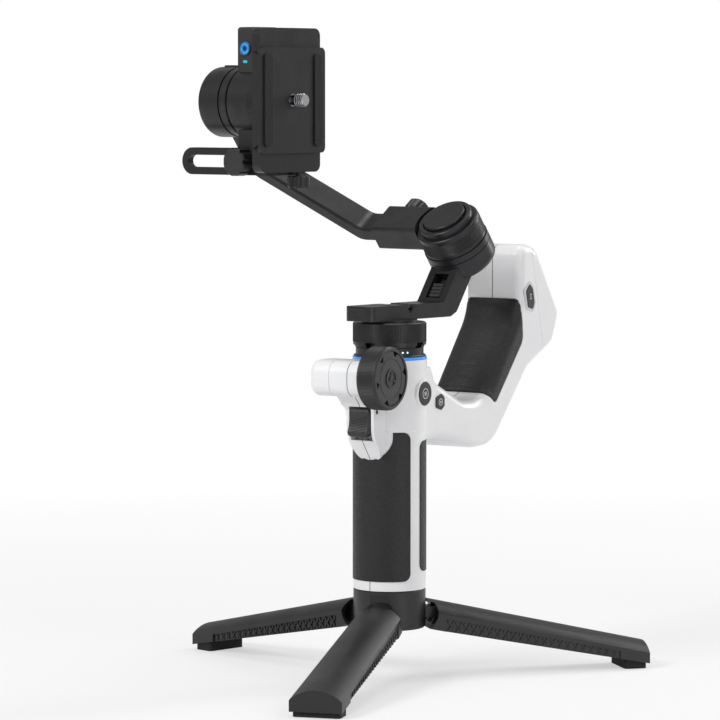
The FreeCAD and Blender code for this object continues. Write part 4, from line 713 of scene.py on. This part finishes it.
def lattice_tree():
    """Crossed bars that shrink along a tapered side wall, from its start point to its end point."""
    tree = bpy.data.node_groups.new("side_lattice", "GeometryNodeTree")
    sockets = (("Count", "NodeSocketInt"), ("Start", "NodeSocketVector"), ("End", "NodeSocketVector"),
               ("Bar Size", "NodeSocketVector"), ("Lean", "NodeSocketFloat"),
               ("End Scale", "NodeSocketFloat"),
               ("Material", "NodeSocketMaterial"))
    for label, kind in sockets:
        tree.interface.new_socket(label, in_out="INPUT", socket_type=kind)
    tree.interface.new_socket("Geometry", in_out="OUTPUT", socket_type="NodeSocketGeometry")
    way_in = tree.nodes.new("NodeGroupInput")
    way_out = tree.nodes.new("NodeGroupOutput")
    line = tree.nodes.new("GeometryNodeMeshLine")
    line.mode = "END_POINTS"
    bar = tree.nodes.new("GeometryNodeMeshCube")
    index = tree.nodes.new("GeometryNodeInputIndex")
    share = tree.nodes.new("ShaderNodeMath")
    share.operation = "DIVIDE"
    shrink = tree.nodes.new("ShaderNodeMapRange")
    shrink.inputs["To Min"].default_value = 1.0
    joined = tree.nodes.new("GeometryNodeJoinGeometry")
    real = tree.nodes.new("GeometryNodeRealizeInstances")
    finish = tree.nodes.new("GeometryNodeSetMaterial")
    link = tree.links.new
    link(way_in.outputs["Count"], line.inputs["Count"])
    link(way_in.outputs["Start"], line.inputs["Start Location"])
    link(way_in.outputs["End"], line.inputs["Offset"])
    link(way_in.outputs["Bar Size"], bar.inputs["Size"])
    link(index.outputs["Index"], share.inputs[0])
    link(way_in.outputs["Count"], share.inputs[1])
    link(share.outputs["Value"], shrink.inputs["Value"])
    link(way_in.outputs["End Scale"], shrink.inputs["To Max"])
    for sense in (1, -1):
        signed = tree.nodes.new("ShaderNodeMath")
        signed.operation = "MULTIPLY"
        signed.inputs[1].default_value = sense
        angle = tree.nodes.new("ShaderNodeCombineXYZ")
        copies = tree.nodes.new("GeometryNodeInstanceOnPoints")
        link(way_in.outputs["Lean"], signed.inputs[0])
        link(signed.outputs["Value"], angle.inputs["Y"])
        link(line.outputs["Mesh"], copies.inputs["Points"])
        link(bar.outputs["Mesh"], copies.inputs["Instance"])
        link(angle.outputs["Vector"], copies.inputs["Rotation"])
        link(shrink.outputs["Result"], copies.inputs["Scale"])
        link(copies.outputs["Instances"], joined.inputs["Geometry"])
    link(joined.outputs["Geometry"], real.inputs["Geometry"])
    link(real.outputs["Geometry"], finish.inputs["Geometry"])
    link(way_in.outputs["Material"], finish.inputs["Material"])
    link(finish.outputs["Geometry"], way_out.inputs["Geometry"])
    return tree


side_lattice = lattice_tree()
for node, azimuth in LEG_AZIMUTHS.items():
    turn = Matrix.Rotation(math.radians(azimuth), 4, "Z")
    for side, word in ((1, "left"), (-1, "right")):
        ends = []
        for run in LATTICE_RUN:
            middle = (along_leg(LEG_LOW, run) + along_leg(LEG_SHOULDER, run) - LEG_SKIRT) / 2
            aside = side * (along_leg(LEG_HALF_W, run) - LEG_REBATE + LATTICE_PROUD)
            ends.append((run * MM, aside * MM, middle * MM))
        values = {"Count": LATTICE_BARS, "Start": ends[0], "End": ends[1],
                  "Bar Size": LATTICE_BAR, "Lean": LATTICE_LEAN, "End Scale": 0.5,
                  "Material": leg_nylon}
        grown(f"{node}_lattice_{word}", side_lattice, values, turn, LEG_BODIES[node])
    leg = bpy.data.objects.new(node + "_open", merged_copy(node))
    bpy.context.collection.objects.link(leg)
    windows = side_windows(azimuth)
    bpy.context.collection.objects.link(windows)
    opener = leg.modifiers.new("open", "BOOLEAN")
    opener.operation = "DIFFERENCE"
    opener.solver = "EXACT"
    opener.object = windows
    apply_modifiers(leg)
    bpy.data.objects.remove(windows)
    leg.data.materials.clear()
    leg.data.materials.append(leg_nylon)
    leg.data.polygons.foreach_set("use_smooth", [True] * len(leg.data.polygons))
    leg.data.set_sharp_from_angle(angle=math.radians(28))
    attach(leg, LEG_BODIES[node])
    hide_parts(node)


# ---------------------------------------------------------------- pan arm and roll motor
# One bent casting carries the roll motor's fixed half. Its drum is rolled with
# slanted ridges in two rows, and a stepped cap closes its front.
ROLL_RIDGES = 128
ROLL_SLANT = math.radians(32)
dress(anodised, "pan_arm", "roll_drum", "roll_cap", "roll_sleeve")
dress(button_black, "sleeve_knob", "bracket_knob", "base_knob")
roll_axis = Vector(joints["roll"]["axis"]).normalized()
roll_start = Vector(joints["roll"]["pos_m"]) - roll_axis * 6 * MM
DRUM_RADIUS = 17.0 * MM
row = 3.6 * MM
for count, level in enumerate((3.8, 7.4)):
    row_place = placed(roll_start + roll_axis * level * MM, roll_axis, (1, 0, 0))
    row_turn = Matrix.Rotation(-count * row * math.tan(ROLL_SLANT) / DRUM_RADIUS, 4, "Z")
    ridged_band(f"roll_ridges_{count + 1}", "roll_head", anodised_knurl, row_place @ row_turn,
                DRUM_RADIUS - 0.04 * MM, row / math.cos(ROLL_SLANT), ROLL_RIDGES, 0.22 * MM, ROLL_SLANT)


# ---------------------------------------------------------------- roll arm and tilt motor
# A forged arm slides through the roll motor's guide and carries the tilt motor at
# its end. The turning drum behind the tracking camera is ridged.
TILT_RIDGES = 150
TILT_RADIUS = 18.6 * MM
dress(anodised, "roll_arm", "tilt_stator", "tilt_cap", "tilt_rotor", "clamp_lug")
tilt_axis = Vector(joints["tilt"]["axis"]).normalized()
tilt_at = Vector(joints["tilt"]["pos_m"])


def turned_ring(name, body, material, place, profile, gap_angle=0.0, sides=96):
    """Ring turned from a closed profile of (radius, height) in mm, open for the gap at local +Y."""
    built = bmesh.new()
    closed = gap_angle == 0
    start = math.pi / 2 + gap_angle / 2
    sweep = 2 * math.pi - gap_angle
    loops = []
    for i in range(sides if closed else sides + 1):
        angle = start + sweep * i / sides
        loops.append([built.verts.new((r * MM * math.cos(angle), r * MM * math.sin(angle), h * MM))
                      for r, h in profile])
    count = len(profile)
    for i in range(sides):
        here, there = loops[i], loops[(i + 1) % len(loops)]
        for j in range(count):
            built.faces.new((here[j], there[j], there[(j + 1) % count], here[(j + 1) % count]))
    if not closed:
        built.faces.new(loops[0])
        built.faces.new(loops[-1][::-1])
    bmesh.ops.recalc_face_normals(built, faces=built.faces)
    mesh = bpy.data.meshes.new(name)
    built.to_mesh(mesh)
    built.free()
    mesh.transform(place)
    mesh.materials.append(material)
    mesh.polygons.foreach_set("use_smooth", [True] * len(mesh.polygons))
    mesh.set_sharp_from_angle(angle=math.radians(30))
    piece = bpy.data.objects.new(name, mesh)
    bpy.context.collection.objects.link(piece)
    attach(piece, body)
    return piece


tilt_ring_place = placed(tilt_at - tilt_axis * 10 * MM, tilt_axis, (0, 0, 1))
turned_ring("tilt_spacer", "roll_arm", anodised, tilt_ring_place,
            [(15.0, -2.3), (17.9, -2.3), (18.3, -1.9), (18.3, 2.2), (17.9, 2.6), (15.0, 2.6)],
            math.radians(22))
ridged_band("tilt_ridges", "tilt_head", anodised_knurl,
            placed(tilt_at + tilt_axis * 9.8 * MM, tilt_axis, (0, 0, 1)),
            TILT_RADIUS - 0.05 * MM, 5.2 * MM, TILT_RIDGES, 0.24 * MM)


# ---------------------------------------------------------------- tracking camera
# A small black housing on the tilt drum, with a round lens whose blue reflections are
# painted in as a glow, and a bright signal lamp below it.
module_black = grained("module_black", (0.020, 0.020, 0.021), (0.015, 0.015, 0.016), (0.36, 0.48), 2600.0,
                       0.00003)
dress(module_black, "tracking_module")
HEAD_TURN = Matrix.Rotation(math.radians(-7.5), 4, "Z")


def on_head(x, y, z):
    """Point of the head's own frame, in millimetres, at rest in the row frame."""
    return HEAD_TURN @ Vector((x * MM, y * MM, z * MM))


ahead = (HEAD_TURN @ Vector((0, -1, 0))).normalized()
LENS_CENTRE = on_head(-90.4, -10.5, 322.5)


def lens_with_painted_glints():
    """Coated lens with painted reflections: black pupil, then a bright blue ring and deep blue edge that glow
    as painted highlights; cyan lamp below.
    """
    material = bpy.data.materials.new("tracking_lens_painted_glints")
    material.use_nodes = True
    tree = material.node_tree
    skin = tree.nodes["Principled BSDF"]
    skin.inputs["Roughness"].default_value = 0.06
    skin.inputs["Base Color"].default_value = (0.004, 0.01, 0.02, 1)
    skin.inputs["Emission Strength"].default_value = 1.0
    place = tree.nodes.new("ShaderNodeTexCoord")
    away = tree.nodes.new("ShaderNodeVectorMath")
    away.operation = "DISTANCE"
    away.inputs[1].default_value = LENS_CENTRE
    scale = tree.nodes.new("ShaderNodeMapRange")
    scale.inputs["From Max"].default_value = 4.4 * MM
    patch = tree.nodes.new("ShaderNodeTexNoise")
    patch.inputs["Scale"].default_value = 420.0
    # Painted reflections on the lens: glowing blue rings by distance from its centre, round a black pupil.
    painted_glint_rings = tree.nodes.new("ShaderNodeValToRGB")
    ramp = painted_glint_rings.color_ramp
    ramp.elements[0].position = 0.0
    ramp.elements[0].color = (0.0, 0.004, 0.01, 1)
    ramp.elements[1].position = 0.22
    ramp.elements[1].color = (0.0, 0.02, 0.06, 1)
    for position, colour in ((0.32, (0.01, 0.12, 0.42)), (0.52, (0.03, 0.40, 0.85)),
                             (0.70, (0.01, 0.16, 0.50)), (0.86, (0.004, 0.05, 0.18)),
                             (1.0, (0.02, 0.55, 0.65))):
        ramp.elements.new(position).color = (*colour, 1)
    # Noise laid over the painted reflections as uneven painted glints.
    mix = tree.nodes.new("ShaderNodeMix")
    mix.data_type = "RGBA"
    mix.blend_type = "OVERLAY"
    mix.inputs["Factor"].default_value = 0.75
    link = tree.links.new
    link(place.outputs["Object"], away.inputs[0])
    link(away.outputs["Value"], scale.inputs["Value"])
    link(scale.outputs["Result"], painted_glint_rings.inputs["Fac"])
    link(place.outputs["Object"], patch.inputs["Vector"])
    link(painted_glint_rings.outputs["Color"], mix.inputs["A"])
    link(patch.outputs["Fac"], mix.inputs["B"])
    link(mix.outputs["Result"], skin.inputs["Emission Color"])
    return material


dress(lens_with_painted_glints(), "tracking_optics")
lens_place = placed(LENS_CENTRE, ahead)
turned_ring("lens_bezel", "tilt_head", module_black, lens_place,
            [(3.3, -0.2), (3.9, -0.2), (3.9, 0.1), (3.6, 0.25), (3.3, 0.1)], sides=48)


# ---------------------------------------------------------------- bracket and quick plate
# Machined aluminium rails with a sliding camera plate, clamped by a knob below. Two
# rubber strips on the plate keep the camera from turning.
dress(anodised, "bracket", "quick_base", "quick_plate")


# ---------------------------------------------------------------- camera screw thread
# The steel camera screw has a rolled 1/4 inch thread of twenty turns to the inch.
THREAD_PITCH = 1.27
THREAD_RUN = (-62.2, -57.7)
thread_axis = (HEAD_TURN @ Vector((1, 0, 0))).normalized()
turns = int((THREAD_RUN[1] - THREAD_RUN[0]) / THREAD_PITCH)
for i in range(turns + 1):
    level = THREAD_RUN[0] + i * THREAD_PITCH
    turned_ring(f"screw_turn_{i + 1}", "camera_screw", plated_steel,
                placed(on_head(level, 0, 295.5), thread_axis, (0, 0, 1)),
                [(3.05, -0.34), (3.38, -0.06), (3.38, 0.06), (3.05, 0.34)], sides=40)


# ---------------------------------------------------------------- studio
# A pale sweep of floor, a large soft key from the front left, a weaker fill and a
# strip behind for the edges.
FLOOR_WHITE = (0.92, 0.92, 0.93, 1)
FLOOR_HALF = 6.0
FADE_RUN = (0.22, 0.9)      # from the object's axis, in metres
FADE_SHARE = (0.55, 1.0)    # how much plain white shows there
VIEW_ANGLE = math.radians(11.16)


def shown_white(tree, lit, strength, share, gloss_share):
    """Mixes plain white over a lit shader where the eye or a gloss looks straight at it."""
    path = tree.nodes.new("ShaderNodeLightPath")
    seen = tree.nodes.new("ShaderNodeMath")
    seen.operation = "MAXIMUM"
    also = tree.nodes.new("ShaderNodeMath")
    also.operation = "MAXIMUM"
    amount = tree.nodes.new("ShaderNodeMath")
    amount.operation = "MULTIPLY"
    amount.inputs[1].default_value = share
    mix = tree.nodes.new("ShaderNodeMixShader")
    is_world = lit.bl_idname == "ShaderNodeBackground"
    white = tree.nodes.new("ShaderNodeBackground" if is_world else "ShaderNodeEmission")
    white.inputs["Color"].default_value = (1, 1, 1, 1)
    white.inputs["Strength"].default_value = strength
    link = tree.links.new
    link(path.outputs["Is Camera Ray"], seen.inputs[0])
    dimmed = tree.nodes.new("ShaderNodeMath")
    dimmed.operation = "MULTIPLY"
    dimmed.inputs[1].default_value = gloss_share
    link(path.outputs["Is Glossy Ray"], dimmed.inputs[0])
    link(dimmed.outputs["Value"], seen.inputs[1])
    link(seen.outputs["Value"], also.inputs[0])
    link(path.outputs["Is Transmission Ray"], also.inputs[1])
    link(also.outputs["Value"], amount.inputs[0])
    link(amount.outputs["Value"], mix.inputs["Fac"])
    link(lit.outputs[0], mix.inputs[1])
    link(white.outputs[0], mix.inputs[2])
    return mix


floor_mesh = bpy.data.meshes.new("floor")
floor_corners = [(x * FLOOR_HALF, y * FLOOR_HALF, 0) for x, y in ((-1, -1), (1, -1), (1, 1), (-1, 1))]
floor_mesh.from_pydata(floor_corners, [], [(0, 1, 2, 3)])
floor = bpy.data.objects.new("floor", floor_mesh)
floor.location.z = -0.0002
bpy.context.collection.objects.link(floor)
floor_paint = bpy.data.materials.new("floor_paint")
floor_paint.use_nodes = True
floor_tree = floor_paint.node_tree
floor_skin = floor_tree.nodes["Principled BSDF"]
floor_skin.inputs["Base Color"].default_value = FLOOR_WHITE
floor_skin.inputs["Roughness"].default_value = 0.55
floor_mix = shown_white(floor_tree, floor_skin, 1.0, 0.62, 0.6)
floor_place = floor_tree.nodes.new("ShaderNodeTexCoord")
floor_away = floor_tree.nodes.new("ShaderNodeVectorMath")
floor_away.operation = "LENGTH"
floor_fade = floor_tree.nodes.new("ShaderNodeMapRange")
floor_fade.inputs["From Min"].default_value, floor_fade.inputs["From Max"].default_value = FADE_RUN
floor_fade.inputs["To Min"].default_value, floor_fade.inputs["To Max"].default_value = FADE_SHARE
floor_amount = floor_mix.inputs["Fac"].links[0].from_node
floor_tree.links.new(floor_place.outputs["Object"], floor_away.inputs[0])
floor_tree.links.new(floor_away.outputs["Value"], floor_fade.inputs["Value"])
floor_tree.links.new(floor_fade.outputs["Result"], floor_amount.inputs[1])
floor_tree.links.new(floor_mix.outputs[0], floor_tree.nodes["Material Output"].inputs["Surface"])
floor_mesh.materials.append(floor_paint)

scene = bpy.context.scene
scene.view_settings.view_transform = "Standard"
world = bpy.data.worlds.new("studio")
scene.world = world
world.use_nodes = True
sky = world.node_tree.nodes["Background"]
sky.inputs["Color"].default_value = (1, 1, 1, 1)
sky.inputs["Strength"].default_value = 0.22
sky_mix = shown_white(world.node_tree, sky, 1.0, 1.0, 0.25)
world.node_tree.links.new(sky_mix.outputs[0], world.node_tree.nodes["World Output"].inputs["Surface"])


def soft_box(name, at, look_at, size, power):
    lamp = bpy.data.lights.new(name, "AREA")
    lamp.shape = "RECTANGLE"
    lamp.size = size[0]
    lamp.size_y = size[1]
    lamp.energy = power
    holder = bpy.data.objects.new(name, lamp)
    holder.location = at
    holder.rotation_euler = (Vector(look_at) - Vector(at)).to_track_quat("-Z", "Y").to_euler()
    bpy.context.collection.objects.link(holder)


soft_box("key", (-0.55, -1.55, 1.35), (0, 0, 0.18), (0.8, 0.7), 24.0)
soft_box("fill", (1.7, -0.5, 0.7), (0, 0.03, 0.2), (0.5, 1.3), 7.0)
soft_box("rim", (0.6, 1.5, 1.0), (0, 0.03, 0.2), (0.4, 1.4), 13.0)
soft_box("top", (0.0, 0.2, 1.9), (0, 0, 0.2), (0.7, 0.9), 9.0)

eye = bpy.data.cameras.new("eye")
eye.angle = VIEW_ANGLE
eye_holder = bpy.data.objects.new("eye", eye)
eye_holder.location = (1.0129, -1.5876, 0.3001)
eye_holder.rotation_euler = (math.radians(85.83), 0, math.radians(33))
bpy.context.collection.objects.link(eye_holder)
scene.camera = eye_holder
